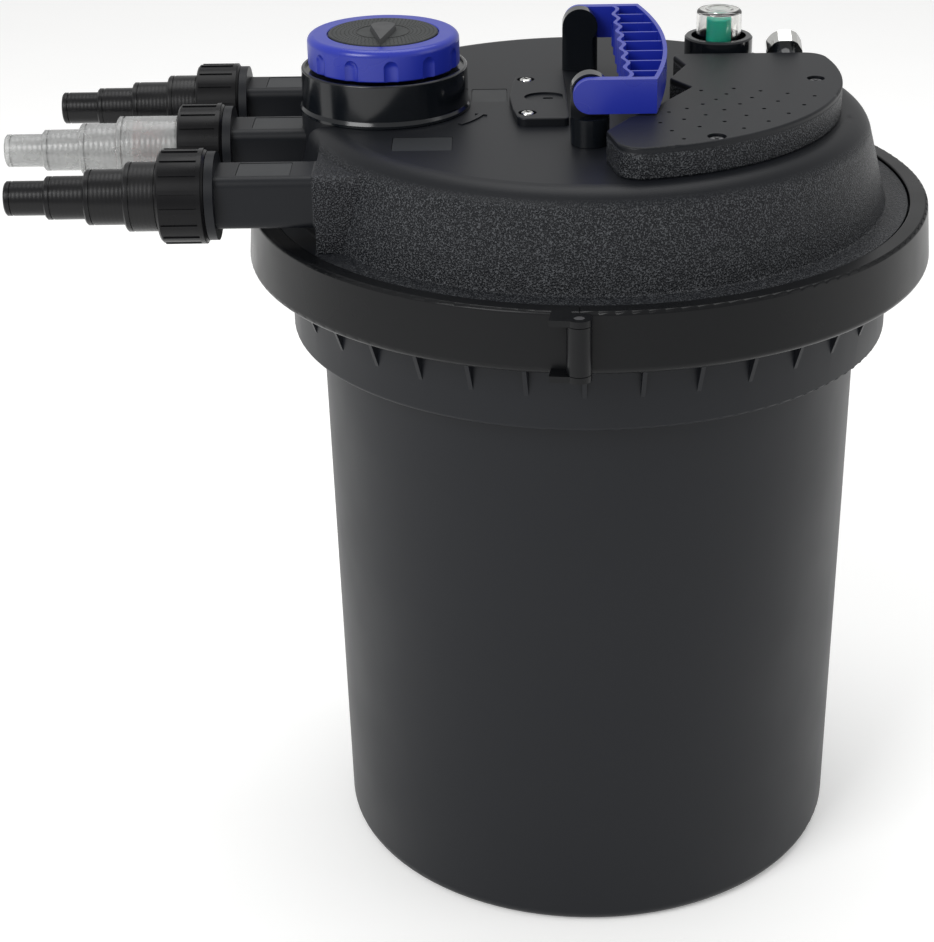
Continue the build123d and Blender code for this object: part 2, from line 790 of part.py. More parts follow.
def cleaning_handle():
    z0 = pivot_z - arm_height / 2
    corner, apex, half = grip_plan(0)
    left = post_x - arm_end_r - 1
    outer = make_face(
        [
            Line((left, -half), (corner[0], -half)),
            ThreePointArc((corner[0], -half), apex, (corner[0], half)),
            Line((corner[0], half), (left, half)),
            Line((left, half), (left, -half)),
        ]
    )
    inner_half = half - arm_t
    wave = wave_line(0, inner_half)
    edges = [
        wave,
        Line(wave @ 0, (left - 1, inner_half)),
        Line((left - 1, inner_half), (left - 1, -inner_half)),
        Line((left - 1, -inner_half), wave @ 1),
    ]
    shape = extrude(outer - make_face(edges), arm_height)
    pocket_corner, pocket_apex, pocket_half = grip_plan(grip_wall)
    pocket_half -= 3
    pocket_wave = wave_line(grip_wall, pocket_half)
    pocket = make_face(
        [
            Line(pocket_wave @ 1, (pocket_corner[0], -pocket_half)),
            ThreePointArc((pocket_corner[0], -pocket_half), pocket_apex, (pocket_corner[0], pocket_half)),
            Line((pocket_corner[0], pocket_half), pocket_wave @ 0),
            pocket_wave,
        ]
    )
    channel = Pos(0, 0, grip_floor) * extrude(pocket, arm_height)
    first = -(grip_rib_count - 1) / 2
    for i in range(grip_rib_count):
        y = (first + i) * grip_rib_pitch
        channel -= block(0, 60, y - grip_rib_t / 2, y + grip_rib_t / 2, 0, arm_height - 1.2)
    shape = Pos(0, 0, z0) * (shape - channel)
    side_view = [
        (post_x, z0),
        (grip_corner_x, z0),
        (grip_outer_x + 2, z0 + 7),
        (grip_outer_x + 2, z0 + arm_height),
        (post_x, z0 + arm_height),
    ]
    envelope = extrude(Plane.XZ * make_face(Polyline(*side_view, close=True)), half + 1, both=True)
    envelope += y_rod(arm_end_r, -half - 1, half + 1, post_x, pivot_z)
    shape = shape & envelope
    for side in (-1, 1):
        ends = sorted((side * (inner_half - 1), side * (half - handle_skin)))
        shape -= y_rod(handle_pin_r + running_fit, ends[0], ends[1], post_x, pivot_z)
    return shape


def pull_rod(side):
    top = plateau_z + seat_gap + rod_tip_depth
    return rod(pull_rod_r, pull_plate_z - rod_nut_t - 3, top, post_x, side * post_y)


def rod_seal(side):
    z1 = ceiling_z
    return tube(rod_seal_r, pull_rod_r + running_fit, z1 - rod_seal_t, z1, post_x, side * post_y)


def rod_nut(side):
    z1 = pull_plate_z
    prism = extrude(RegularPolygon(rod_nut_width / 2, 6, major_radius=False), rod_nut_t)
    nut = Pos(post_x, side * post_y, z1 - rod_nut_t) * prism
    return nut - rod(pull_rod_r, z1 - rod_nut_t - 1, z1 + 1, post_x, side * post_y)


def inner_clearances(shape, z0, z1):
    shape -= rod(standpipe_r + foam_hole_gap, z0 - 1, z1 + 1, selector_x)
    shape -= rod(sleeve_r + foam_hole_gap, z0 - 1, z1 + 1, sleeve_x, sleeve_y)
    for side in (-1, 1):
        shape -= rod(pull_rod_r + seat_gap, z0 - 1, z1 + 1, post_x, side * post_y)
    return shape


def pull_plate():
    z1 = pull_plate_z + pull_plate_t
    shape = rod(inner_base_r - pull_plate_gap, pull_plate_z, z1)
    shape -= rod(standpipe_r + foam_hole_gap, pull_plate_z - 1, z1 + 1, selector_x)
    for side in (-1, 1):
        shape -= rod(pull_rod_r, pull_plate_z - 1, z1 + 1, post_x, side * post_y)
    for ring_r, count in ((40, 8), (70, 12), (125, 20)):
        for i in range(count):
            x, y = polar(ring_r, (i + 0.5) * 360 / count)
            clear_rod = min(math.dist((x, y), (post_x, s * post_y)) for s in (-1, 1)) > 16
            if clear_rod and math.dist((x, y), (selector_x, 0)) > standpipe_r + 14:
                shape -= rod(6.0, pull_plate_z - 1, z1 + 1, x, y)
    return shape


def foam_disc(index):
    z0 = pull_plate_z + pull_plate_t + seat_gap + index * (foam_t + seat_gap)
    return inner_clearances(rod(inner_base_r - foam_gap, z0, z0 + foam_t), z0, z0 + foam_t)


def media_tray():
    z0 = bucket_wall
    tray_r = inner_base_r - tray_gap
    shape = rod(tray_r, z0, z0 + tray_height) - rod(tray_r - tray_wall, z0 + tray_wall, z0 + tray_height + 1)
    return shape - rod(standpipe_r + foam_hole_gap, z0 + tray_wall - 1, z0 + tray_height + 1, selector_x)


def media_pack():
    z0 = bucket_wall + tray_wall + seat_gap
    shape = rod(inner_base_r - tray_gap - tray_wall - foam_hole_gap, z0, z0 + media_height)
    return shape - rod(standpipe_r + foam_hole_gap, z0 - 1, z0 + media_height + 1, selector_x)


# ---------------------------------------------------------------- plates, covers and small parts


def rod_plate():
    half = plate_half_width
    x0 = plate_x - plate_length / 2
    x1 = plate_x + plate_length / 2
    outline = [
        (x1, -half),
        (x1, half),
        (x0 + 5, half),
        (x0 + 2, half - 20),
        (x0, 0),
        (x0 + 2, 20 - half),
        (x0 + 5, -half),
    ]
    face = make_face(FilletPolyline(*outline, radius=[3, 3, 6, 12, 14, 12, 6], close=True))
    shape = extrude(face, plate_t)
    shape = fillet(shape.faces().sort_by(Axis.Z)[-1].edges(), 1.0)
    lens_x = x1 - 13.5
    lens = Pos(lens_x, -3) * Ellipse(12.5, 10) & Pos(x1 - 14.5, 0) * Rectangle(24, 60)
    shape -= Pos(0, 0, plate_t - plate_recess_d) * extrude(lens, plate_t)
    slot = Pos(lens_x + 2, -2) * SlotOverall(plate_slot_length, plate_slot_width)
    shape -= Pos(0, 0, plate_t - 3.2) * extrude(slot, plate_t)
    for side in (-1, 1):
        shape -= rod(screw_head_r + 1.6, plate_t - 2.0, plate_t + 1, plate_screw_x, side * plate_screw_y)
        shape -= rod(screw_shank_r + running_fit, -1, plate_t + 1, plate_screw_x, side * plate_screw_y)
    return Pos(0, 0, plateau_z) * shape


def rod_plate_screws():
    z = plateau_z + plate_t - 2.0
    return [pan_screw(plate_screw_x, side * plate_screw_y, z) for side in (-1, 1)]


def round_corners(face, places, radius):
    near = [v for v in face.vertices() if min(math.dist((v.X, v.Y), place) for place in places) < 1]
    return fillet(near, radius)


def cover_outline(inset=0.0):
    arc_r = cover_arc_r - inset
    back = cover_back_y - inset
    points = [
        (5.0 + inset, -117.0),
        (19.0 + inset, -92.0),
        (35.0 + inset, -72.5),
        (45.5 + inset, -54.5),
        (59.5 + inset, -32.0),
        (47.8 + inset, -13.0),
        (59.8 + inset, 17.0),
        (53.0 + inset, back),
    ]
    start_x = math.sqrt(arc_r**2 - back**2)
    end_x = 12.0 + inset
    end_y = -math.sqrt(arc_r**2 - end_x**2)
    middle = polar(arc_r, -35.0)
    left = Polyline(*points)
    back_edge = Line(points[-1], (start_x, back))
    arc = ThreePointArc((start_x, back), middle, (end_x, end_y))
    close = Line((end_x, end_y), points[0])
    face = make_face([left, back_edge, arc, close])
    face = round_corners(face, [(start_x, back), (end_x, end_y)], max(cover_corner_r - inset, 4))
    face = round_corners(face, [points[5], points[-1]], max(cover_lobe_r - inset, 1.5))
    return round_corners(face, [points[4], points[6]], cover_notch_r)


def ballast_cover():
    outline = extrude(cover_outline(), cover_height)
    shape = fillet(outline.faces().sort_by(Axis.Z)[-1].edges(), 1.4)
    shape -= Pos(0, 0, -1) * extrude(cover_outline(cover_wall + 1.0), cover_height + 1 - cover_wall)
    for x, y in cover_screw_places():
        shape += rod(cover_screw_pocket_r + 2.2, 0, cover_height - 1, x, y) & outline
        shape -= rod(cover_screw_pocket_r, cover_height - 4.0, cover_height + 1, x, y)
        shape -= rod(screw_shank_r + running_fit, -1, cover_height, x, y)
    for row in range(dimple_row_count):
        for ring in range(dimple_ring_count):
            radius = dimple_radius + ring * dimple_radius_pitch
            dx, dy = polar(radius, dimple_angle - row * dimple_angle_pitch)
            x = dimple_origin[0] + dx
            y = dimple_origin[1] + dy
            left_of_cover = x < 15 + (y + 118.0) * 0.56 + 6
            near_screw = min(math.dist((x, y), s) for s in cover_screw_places()) < cover_screw_pocket_r + 2
            if not left_of_cover and not near_screw and math.hypot(x, y) < cover_arc_r - 7:
                shape -= rod(dimple_r, cover_height - dimple_depth, cover_height + 1, x, y)
    shape = Pos(0, 0, plateau_z) * shape
    passage = gland_frame() * Cylinder(gland_neck_r + 0.02, 2 * gland_neck_length)
    return shape - passage


def cover_cap_screws():
    screws = []
    for x, y in cover_screw_places():
        z = plateau_z + cover_height - 4.0
        head = rod(screw_head_r, z, z + screw_head_t, x, y)
        for angle in (35, 125):
            cross = Box(screw_cross_length, screw_cross_width, screw_cross_depth * 2)
            head -= Pos(x, y, z + screw_head_t) * Rot(0, 0, angle) * cross
        screws.append(head + rod(screw_shank_r, plateau_z - 3.5, z + 0.5, x, y))
    return screws


def gland_frame():
    start = Pos(gland_x, cover_back_y - cover_wall / 2, plateau_z + gland_z)
    return start * Rot(gland_tilt - 90, 0, 0)


def gland_body():
    neck = Cylinder(gland_neck_r, gland_neck_length, align=MIN_UP)
    neck += Pos(0, 0, gland_neck_length) * Cylinder(gland_neck_r - 1.4, gland_nut_t - 3, align=MIN_UP)
    neck -= Cylinder(gland_bore_r, 80)
    return gland_frame() * neck


def gland_nut():
    prism = extrude(RegularPolygon(gland_nut_width / 2, 6, major_radius=False), gland_nut_t)
    dome = Cylinder(gland_nut_width / 2 + 0.6, gland_nut_t, align=MIN_UP)
    dome = chamfer(dome.edges().sort_by(Axis.Z)[-1], 2.4)
    nut = (prism & dome) - Cylinder(gland_neck_r - 1.4, 2 * (gland_nut_t - 3))
    nut -= Cylinder(gland_seal_r - 1.2, 60)
    return gland_frame() * Pos(0, 0, gland_neck_length) * nut


def gland_seal():
    ring = Cylinder(gland_seal_r - 1.2, gland_seal_t, align=MIN_UP) - Cylinder(gland_bore_r, 20)
    return gland_frame() * Pos(0, 0, gland_neck_length + gland_nut_t - gland_seal_t) * ring


def quartz_sleeve():
    z1 = plateau_z
    z0 = z1 - sleeve_length
    shape = rod(sleeve_r, z0, z1, sleeve_x, sleeve_y)
    shape = fillet(shape.edges().sort_by(Axis.Z)[0], sleeve_end_r)
    shape -= rod(sleeve_r - sleeve_wall, z0 + 2 * sleeve_wall, z1 + 1, sleeve_x, sleeve_y)
    return shape


def sleeve_collar():
    z0 = plateau_z
    flange_r0 = sleeve_r + sleeve_flange_width
    return tube(flange_r0, sleeve_r - sleeve_wall, z0, z0 + sleeve_flange_t, sleeve_x, sleeve_y)


def sleeve_seal():
    z1 = ceiling_z
    return tube(sleeve_r + sleeve_flange_width, sleeve_r + 0.02, z1 - 5, z1, sleeve_x, sleeve_y)


def uv_lamp():
    top = plateau_z + sleeve_flange_t - lamp_socket_t
    z0 = top - lamp_length
    leg_a = rod(lamp_r, z0 + 6, top, sleeve_x, sleeve_y - lamp_leg_offset)
    leg_b = rod(lamp_r, z0 + 6, top, sleeve_x, sleeve_y + lamp_leg_offset)
    bridge = y_rod(5.0, -lamp_leg_offset, lamp_leg_offset, 0, 0)
    return leg_a + leg_b + Pos(sleeve_x, sleeve_y, z0 + 12) * bridge


def lamp_socket():
    z1 = plateau_z + sleeve_flange_t
    socket_r = sleeve_r - sleeve_wall - lamp_socket_gap
    shape = rod(socket_r, z1 - lamp_socket_t, z1, sleeve_x, sleeve_y)
    return shape + rod(sleeve_r + 2, z1, z1 + 2.5, sleeve_x, sleeve_y)


def ballast():
    x, y = ballast_centre
    length, width, height = ballast_size
    return Pos(x, y, plateau_z) * Box(length, width, height, align=MIN_UP)


def indicator_socket():
    z1 = plateau_z + indicator_socket_h
    shape = rod(indicator_socket_r, plateau_z, z1, indicator_x, indicator_y)
    rim = shape.edges().filter_by(GeomType.CIRCLE).sort_by(Axis.Z)[-1]
    shape = chamfer(rim, 1.0)
    inner = indicator_socket_r - indicator_socket_wall
    return shape - rod(inner, plateau_z + indicator_floor, z1 + 1, indicator_x, indicator_y)


def indicator_lens():
    z0 = plateau_z + indicator_floor
    z1 = plateau_z + lens_height
    shape = rod(lens_r, z0, z1, indicator_x, indicator_y)
    shape = fillet(shape.edges().filter_by(GeomType.CIRCLE).sort_by(Axis.Z)[-1], 2.4)
    shape += tube(lens_ring_r, lens_ring_r - 1.8, z1 - 0.2, z1 + 0.9, indicator_x, indicator_y)
    return shape - rod(lens_r - lens_wall, z0 - 1, z1 - lens_wall - 0.6, indicator_x, indicator_y)


def indicator_core():
    z0 = plateau_z + indicator_floor
    stem = rod(3.0, z0, z0 + core_bottom, indicator_x, indicator_y)
    body = rod(core_r, z0 + core_bottom - 1, z0 + core_bottom + core_height, indicator_x, indicator_y)
    return stem + fillet(body.edges().filter_by(GeomType.CIRCLE).sort_by(Axis.Z)[-1], 1.0)


# ---------------------------------------------------------------- assembly


def group(shapes):
    return Compound(children=[Solid(s.solids()[0].wrapped) for s in shapes])


def assembly():
    nodes = {
        "bucket": bucket(),
        "lid": lid(),
        "lid_seal": lid_seal(),
        "clamp_ring_left": ring_half_left(),
        "clamp_ring_right": ring_half_right(),
        "clamp_hinge_pin": knuckle_pin(),
        "latch_lever": latch_lever(),
        "latch_pin": latch_pin(),
        "selector_collar": selector_collar(),
        "selector_knob": selector_knob(),
        "knob_disc": knob_disc(),
        "knob_pointer": knob_pointer(),
        "valve_rotor": valve_rotor(),
        "valve_housing": valve_housing(),
        "standpipe": standpipe(),
        "post_front": handle_post(-1),
        "post_rear": handle_post(1),
        "handle_pins": group([handle_pin(-1), handle_pin(1)]),
        "cleaning_handle": cleaning_handle(),
        "pull_rods": group([pull_rod(-1), pull_rod(1)]),
        "rod_seals": group([rod_seal(-1), rod_seal(1)]),
        "rod_nuts": group([rod_nut(-1), rod_nut(1)]),
        "pull_plate": pull_plate(),
        "media_tray": media_tray(),
        "media_pack": media_pack(),
        "rod_plate": rod_plate(),
        "rod_plate_screws": group(rod_plate_screws()),
        "ballast_cover": ballast_cover(),
        "ballast_cover_screws": group(cover_cap_screws()),
        "ballast": ballast(),
        "gland_body": gland_body(),
        "gland_nut": gland_nut(),
        "gland_seal": gland_seal(),
        "quartz_sleeve": quartz_sleeve(),
        "sleeve_collar": sleeve_collar(),
        "sleeve_seal": sleeve_seal(),
        "uv_lamp": uv_lamp(),
        "lamp_socket": lamp_socket(),
        "indicator_socket": indicator_socket(),
        "indicator_lens": indicator_lens(),
        "indicator_core": indicator_core(),
        "flow_float": flow_float(),
    }
    for name, y in port_rows.items():
        first_step = clear_tail_first_step if name == "middle" else tail_first_step
        nodes[f"union_nut_{name}"] = union_nut(y)
        nodes[f"hose_tail_{name}"] = hose_tail(y, first_step)
    nodes["union_seals"] = group([union_seal(y) for y in port_rows.values()])
    for index in range(foam_count):
        nodes[f"foam_disc_{index + 1}"] = foam_disc(index)
    return nodes


os.makedirs("parts", exist_ok=True)
for node, shape in assembly().items():
    export_step(shape, f"parts/{node}.step")
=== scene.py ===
import math
import random

import bmesh
import bpy
from bpy.props import FloatProperty, FloatVectorProperty, IntProperty, PointerProperty
from mathutils import Euler, Matrix, Vector


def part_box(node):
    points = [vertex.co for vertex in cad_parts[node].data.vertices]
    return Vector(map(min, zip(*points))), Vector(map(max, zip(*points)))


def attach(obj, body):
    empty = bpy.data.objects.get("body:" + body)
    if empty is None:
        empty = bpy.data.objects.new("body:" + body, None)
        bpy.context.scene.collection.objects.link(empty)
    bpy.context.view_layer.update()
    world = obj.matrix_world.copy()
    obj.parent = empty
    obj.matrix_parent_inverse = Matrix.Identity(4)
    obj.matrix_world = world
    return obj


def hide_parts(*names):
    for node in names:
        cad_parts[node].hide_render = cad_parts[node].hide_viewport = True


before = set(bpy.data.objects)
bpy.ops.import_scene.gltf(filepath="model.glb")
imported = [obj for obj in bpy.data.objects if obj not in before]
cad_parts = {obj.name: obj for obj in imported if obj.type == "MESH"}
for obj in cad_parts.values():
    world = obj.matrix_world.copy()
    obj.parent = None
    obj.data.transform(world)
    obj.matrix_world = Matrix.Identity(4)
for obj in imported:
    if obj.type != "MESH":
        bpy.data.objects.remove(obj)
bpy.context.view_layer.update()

bl_info = {
    "name": "Pressurized pond filter",
    "version": (1, 0, 0),
    "blender": (4, 5, 0),
    "location": "View3D > Sidebar > Pond filter",
    "description": "Moulded finishes, filter bed and studio for a bucket pond filter with a clamped lid",
    "category": "Object",
}

MM = 0.001


# ---------------------------------------------------------------- colours and nodes


def linear(hex_colour):
    """Turns an sRGB hex value into linear red, green and blue."""
    channels = [int(hex_colour[i : i + 2], 16) / 255 for i in (1, 3, 5)]
    return tuple(c / 12.92 if c <= 0.04045 else ((c + 0.055) / 1.055) ** 2.4 for c in channels)


def shade(colour, factor):
    """The same colour, lighter or darker, with the alpha that a colour socket takes."""
    return tuple(min(c * factor, 1.0) for c in colour) + (1.0,)


def add(tree, kind, inputs=None, **settings):
    """Adds a shader node. An output given as an input is linked, any other value is set on the socket."""
    node = tree.nodes.new("ShaderNode" + kind)
    for name, value in settings.items():
        setattr(node, name, value)
    for name, value in (inputs or {}).items():
        if isinstance(value, bpy.types.NodeSocket):
            tree.links.new(value, node.inputs[name])
        else:
            node.inputs[name].default_value = value
    return node


def per_metre(size_mm):
    """The scale of a pattern whose features are size_mm across."""
    return 1.0 / (size_mm * MM)


def start_material(name):
    """An empty node material and its object coordinates."""
    material = bpy.data.materials.new(name)
    material.use_nodes = True
    tree = material.node_tree
    tree.nodes.clear()
    return material, tree, add(tree, "TexCoord").outputs["Object"]


def finish_material(tree, sockets):
    shader = add(tree, "BsdfPrincipled", sockets)
    add(tree, "OutputMaterial", {"Surface": shader.outputs["BSDF"]})


def clouds(tree, place, size_mm, detail=2.0):
    """Soft patches about size_mm across, from 0 to 1."""
    noise = {"Vector": place, "Scale": per_metre(size_mm), "Detail": detail}
    return add(tree, "TexNoise", noise).outputs["Fac"]


def between(tree, factor, low, high):
    """Stretches the middle of a pattern over a range of values."""
    stretch = {"Value": factor, "From Min": 0.3, "From Max": 0.7, "To Min": low, "To Max": high}
    return add(tree, "MapRange", stretch).outputs["Result"]


def tinted(tree, factor, colour, spread):
    """A colour that drifts a little, darker and lighter, with a pattern."""
    mix = add(tree, "Mix", {"Factor": factor}, data_type="RGBA")
    mix.inputs[6].default_value = shade(colour, 1 - spread)
    mix.inputs[7].default_value = shade(colour, 1 + spread)
    return mix.outputs[2]


def relief(tree, height, depth_mm, under=None):
    """A bump of a real depth, laid over another one."""
    sockets = {"Height": height, "Strength": 1.0, "Distance": depth_mm * MM}
    if under is not None:
        sockets["Normal"] = under
    return add(tree, "Bump", sockets).outputs["Normal"]


def moulded(name, colour, roughness, grain_mm, depth_mm, spread=0.06, patch_mm=35.0, drift=0.05, **sockets):
    """Injection moulded plastic: colour and gloss drift with the melt's flow, over a fine tool grain."""
    material, tree, place = start_material(name)
    patches = clouds(tree, place, patch_mm)
    grain = clouds(tree, place, grain_mm, 3.0)
    values = {
        "Base Color": tinted(tree, patches, colour, spread),
        "Roughness": between(tree, patches, roughness - drift, roughness + drift),
        "Normal": relief(tree, grain, depth_mm),
        "IOR": 1.5,
    }
    finish_material(tree, {**values, **sockets})
    return material


# ---------------------------------------------------------------- finishes


def bucket_polypropylene(finish):
    # Moulded polypropylene from a polished tool: an even dark grey with a soft wide sheen, and the faint
    # unevenness of a thin wall that shrank on its core.
    material, tree, place = start_material("Polypropylene, smooth dark grey")
    patches = clouds(tree, place, 90.0)
    ripple = clouds(tree, place, 28.0, 1.0)
    grain = clouds(tree, place, 0.9, 3.0)
    skin = relief(tree, grain, 0.012)
    gloss = finish.bucket_roughness
    finish_material(
        tree,
        {
            "Base Color": tinted(tree, patches, finish.bucket_colour, 0.05),
            "Roughness": between(tree, patches, gloss - 0.04, gloss + 0.04),
            "Normal": relief(tree, ripple, 0.12, skin),
            "IOR": 1.49,
            "Specular IOR Level": 0.22,
        },
    )
    return material


def sandy_abs(name, finish, low, high, fade):
    # ABS from a spark-eroded tool. The walls between two heights have a coarse sandy grain, whose points of
    # light are painted highlights in a lighter colour, and the rest has a fine satin one.
    material, tree, place = start_material(name)
    along = add(tree, "SeparateXYZ", {"Vector": place}).outputs
    height = along["Z"]
    starts = {"Value": height, "From Min": low, "From Max": low + 1.0 * MM}
    over = add(tree, "MapRange", starts).outputs["Result"]
    ends = {"Value": height, "From Min": high - fade, "From Max": high, "To Min": 1.0, "To Max": 0.0}
    under = add(tree, "MapRange", ends).outputs["Result"]
    level = add(tree, "Math", {0: over, 1: under}, operation="MULTIPLY").outputs["Value"]
    # the conduits, past the manifold's face, are satin all over
    face_x = -finish.manifold_face * MM
    face = {"Value": along["X"], "From Min": face_x - 1.0 * MM, "From Max": face_x}
    near = add(tree, "MapRange", face).outputs["Result"]
    wall = add(tree, "Math", {0: level, 1: near}, operation="MULTIPLY").outputs["Value"]
    # the sparks leave pits about 0.3 mm apart; they are drawn 0.9 mm apart, so that they show
    sparks = {"Vector": place, "Scale": per_metre(0.9), "Detail": 1.0, "Roughness": 0.5}
    pits = add(tree, "TexNoise", sparks).outputs["Fac"]
    # painted highlights: the peaks of the pits are drawn in the lighter grain colour, as the grain's points
    # of light
    painted_glint_mask = add(tree, "MapRange", {"Value": pits, "From Min": 0.5, "From Max": 0.64}).outputs["Result"]
    coarse = add(tree, "Math", {0: pits, 1: wall}, operation="MULTIPLY").outputs["Value"]
    points = add(tree, "Math", {0: painted_glint_mask, 1: wall}, operation="MULTIPLY").outputs["Value"]
    satin = relief(tree, clouds(tree, place, 0.7, 2.0), 0.018)
    patches = clouds(tree, place, 60.0)
    colour = add(tree, "Mix", {"Factor": points}, data_type="RGBA")
    tree.links.new(tinted(tree, patches, finish.lid_colour, 0.06), colour.inputs[6])
    colour.inputs[7].default_value = shade(finish.painted_glint_colour, 1.0)
    gloss = {"Value": wall, "To Min": finish.lid_roughness, "To Max": finish.lid_roughness - 0.06}
    finish_material(
        tree,
        {
            "Base Color": colour.outputs[2],
            "Roughness": add(tree, "MapRange", gloss).outputs["Result"],
            "Normal": relief(tree, coarse, 1.2, satin),
            "IOR": 1.52,
            "Specular IOR Level": 0.2,
        },
    )
    return material


def clamp_polypropylene(finish):
    # Moulded polypropylene of the clamp ring: a black satin with long soft highlights along its round rim.
    colour, roughness = finish.ring_colour, finish.ring_roughness
    satin = {"Specular IOR Level": 0.2}
    return moulded("Polypropylene, satin black", colour, roughness, 0.8, 0.012, 0.08, 50.0, **satin)


def gloss_abs(finish):
    # ABS from a mirror-polished tool: deep black with sharp reflections and a faint flow wave. The faint
    # blue in its black is a painted reflection of the blue knob.
    gloss = {"IOR": 1.54, "Specular IOR Level": 0.4}
    return moulded("ABS, glossy black", finish.gloss_black_and_painted_reflection, 0.14, 9.0, 0.02, 0.05, 30.0, 0.03, **gloss)


def fitting_abs(finish):
    # ABS of the union nuts: black with a half gloss, so that every rib and edge draws a bright line.
    half_gloss = {"Specular IOR Level": 0.17}
    colour = finish.fitting_colour
    return moulded("ABS, half-gloss black", colour, 0.3, 1.1, 0.012, 0.08, 25.0, **half_gloss)


def fine_rings(tree, place, pitch_mm, depth_mm, under=None):
    """Fine rings about a hose tail, pitch_mm apart. A wave of scale 1 repeats every 0.314 m."""
    wave = {"Vector": place, "Scale": 0.314 * per_metre(pitch_mm), "Distortion": 0.4, "Detail Scale": 40.0}
    rings = add(tree, "TexWave", wave, wave_type="BANDS", bands_direction="X").outputs["Fac"]
    return relief(tree, rings, depth_mm, under)


def tail_abs(finish):
    # ABS of the hose tails: the same black, with the fine turned rings that grip the hose.
    material, tree, place = start_material("ABS, half-gloss black with fine rings")
    patches = clouds(tree, place, 25.0)
    grain = clouds(tree, place, 1.1, 3.0)
    finish_material(
        tree,
        {
            "Base Color": tinted(tree, patches, finish.fitting_colour, 0.08),
            "Roughness": between(tree, patches, 0.26, 0.36),
            "Normal": fine_rings(tree, place, 2.4, 0.03, relief(tree, grain, 0.012)),
            "IOR": 1.5,
            "Specular IOR Level": 0.26,
        },
    )
    return material


def clear_polycarbonate(finish):
    # Clear moulded polycarbonate: see-through and greyish, with milky flow lines, a little haze from its
    # thick walls and the fine rings that grip the hose.
    material, tree, place = start_material("Polycarbonate, clear")
    flow = clouds(tree, place, 14.0, 2.0)
    ripple = clouds(tree, place, 5.0, 1.0)
    finish_material(
        tree,
        {
            "Base Color": tinted(tree, flow, finish.clear_colour, 0.1),
            "Roughness": between(tree, flow, 0.16, 0.32),
            "Normal": fine_rings(tree, place, 3.2, 0.045, relief(tree, ripple, 0.05)),
            "Transmission Weight": 0.66,
            "IOR": 1.585,
        },
    )
    return material


def cap_polycarbonate(finish):
    # The same plastic in the thin cap of the lamp indicator, where it is polished and nearly free of haze.
    material, tree, place = start_material("Polycarbonate, polished clear")
    flow = clouds(tree, place, 9.0, 1.0)
    finish_material(
        tree,
        {
            "Base Color": tinted(tree, flow, finish.cap_colour, 0.02),
            "Roughness": between(tree, flow, 0.03, 0.08),
            "Normal": relief(tree, flow, 0.03),
            "Transmission Weight": 1.0,
            "IOR": 1.585,
        },
    )
    return material


def float_polypropylene(finish):
    # Dyed polypropylene of the flow float: a warm red that lets some light through.
    glow = {"Subsurface Weight": 0.15, "Subsurface Scale": 0.002}
    return moulded("Polypropylene, red", finish.float_colour, 0.35, 1.0, 0.01, 0.08, 12.0, **glow)


def core_acrylic(finish):
    # Dyed acrylic light guide of the indicator: a deep green glow with polished ends.
    glow = {"IOR": 1.49, "Subsurface Weight": 0.2, "Subsurface Scale": 0.003}
    return moulded("Acrylic, green", finish.core_colour, 0.16, 3.0, 0.01, 0.12, 10.0, **glow)


def blue_abs(finish):
    # Dyed ABS of the parts that a hand moves: a strong blue with a half gloss that pales towards the light.
    return moulded("ABS, royal blue", finish.blue_colour, finish.blue_roughness, 0.9, 0.012, 0.07, 30.0)


def dial_abs(finish):
    # Fine-grained ABS of the dial plate: olive grey and nearly matt.
    matt = {"Specular IOR Level": 0.3}
    return moulded("ABS, matt olive grey", finish.dial_colour, 0.5, 0.6, 0.02, 0.08, 15.0, **matt)


def pointer_abs(finish):
    # The dial's pointer, from the same grained tool in a darker grey.
    return moulded("ABS, matt dark grey", finish.pointer_colour, 0.42, 0.6, 0.015, 0.08, 12.0)


def label_film(finish):
    # Bare polyester film in the label places: a grey a little lighter than the lid, with a dull even gloss.
    dull = {"Specular IOR Level": 0.25}
    colour = finish.film_colour
    return moulded("Polyester film, dull grey", colour, 0.45, 0.8, 0.006, 0.04, 20.0, 0.02, **dull)


def dimple_black(finish):
    # The sunk dots of the dial hold shadow, so they read as near black and matt.
    return moulded("ABS, shadowed black", finish.dot_colour, 0.6, 0.4, 0.01, 0.1, 6.0)


def plated_steel(finish):
    # Bright nickel over steel: a mirror with a fine drawn haze.
    material, tree, place = start_material("Steel, bright nickel plate")
    haze = clouds(tree, place, 1.5, 4.0)
    finish_material(
        tree,
        {
            "Base Color": tinted(tree, haze, finish.plate_colour, 0.04),
            "Metallic": 1.0,
            "Roughness": between(tree, haze, 0.08, 0.18),
            "Normal": relief(tree, haze, 0.004),
        },
    )
    return material


def turned_steel(finish):
    # Stainless steel from the lathe: grey, with fine rings of tool marks about each bar.
    material, tree, place = start_material("Stainless steel, turned")
    marks = add(
        tree,
        "TexWave",
        {"Vector": place, "Scale": per_metre(1.6), "Distortion": 0.6, "Detail": 2.0},
        wave_type="BANDS",
        bands_direction="Z",
    ).outputs["Fac"]
    finish_material(
        tree,
        {
            "Base Color": tinted(tree, marks, finish.steel_colour, 0.02),
            "Metallic": 1.0,
            "Roughness": between(tree, marks, 0.28, 0.32),
            "Normal": relief(tree, marks, 0.001),
        },
    )
    return material


def nitrile(finish):
    # Nitrile rubber seals: matt black with a dusty bloom.
    return moulded("Nitrile rubber, black", finish.rubber_colour, 0.75, 0.5, 0.02, 0.15, 8.0, IOR=1.52)


def fused_quartz(finish):
    # Fused quartz tube: water clear with a bright thin edge.
    material, tree, place = start_material("Quartz, fused clear")
    draw = clouds(tree, place, 20.0, 1.0)
    finish_material(
        tree,
        {
            "Base Color": tinted(tree, draw, finish.glass_colour, 0.01),
            "Roughness": between(tree, draw, 0.0, 0.03),
            "Normal": relief(tree, draw, 0.05),
            "Transmission Weight": 1.0,
            "IOR": 1.458,
        },
    )
    return material


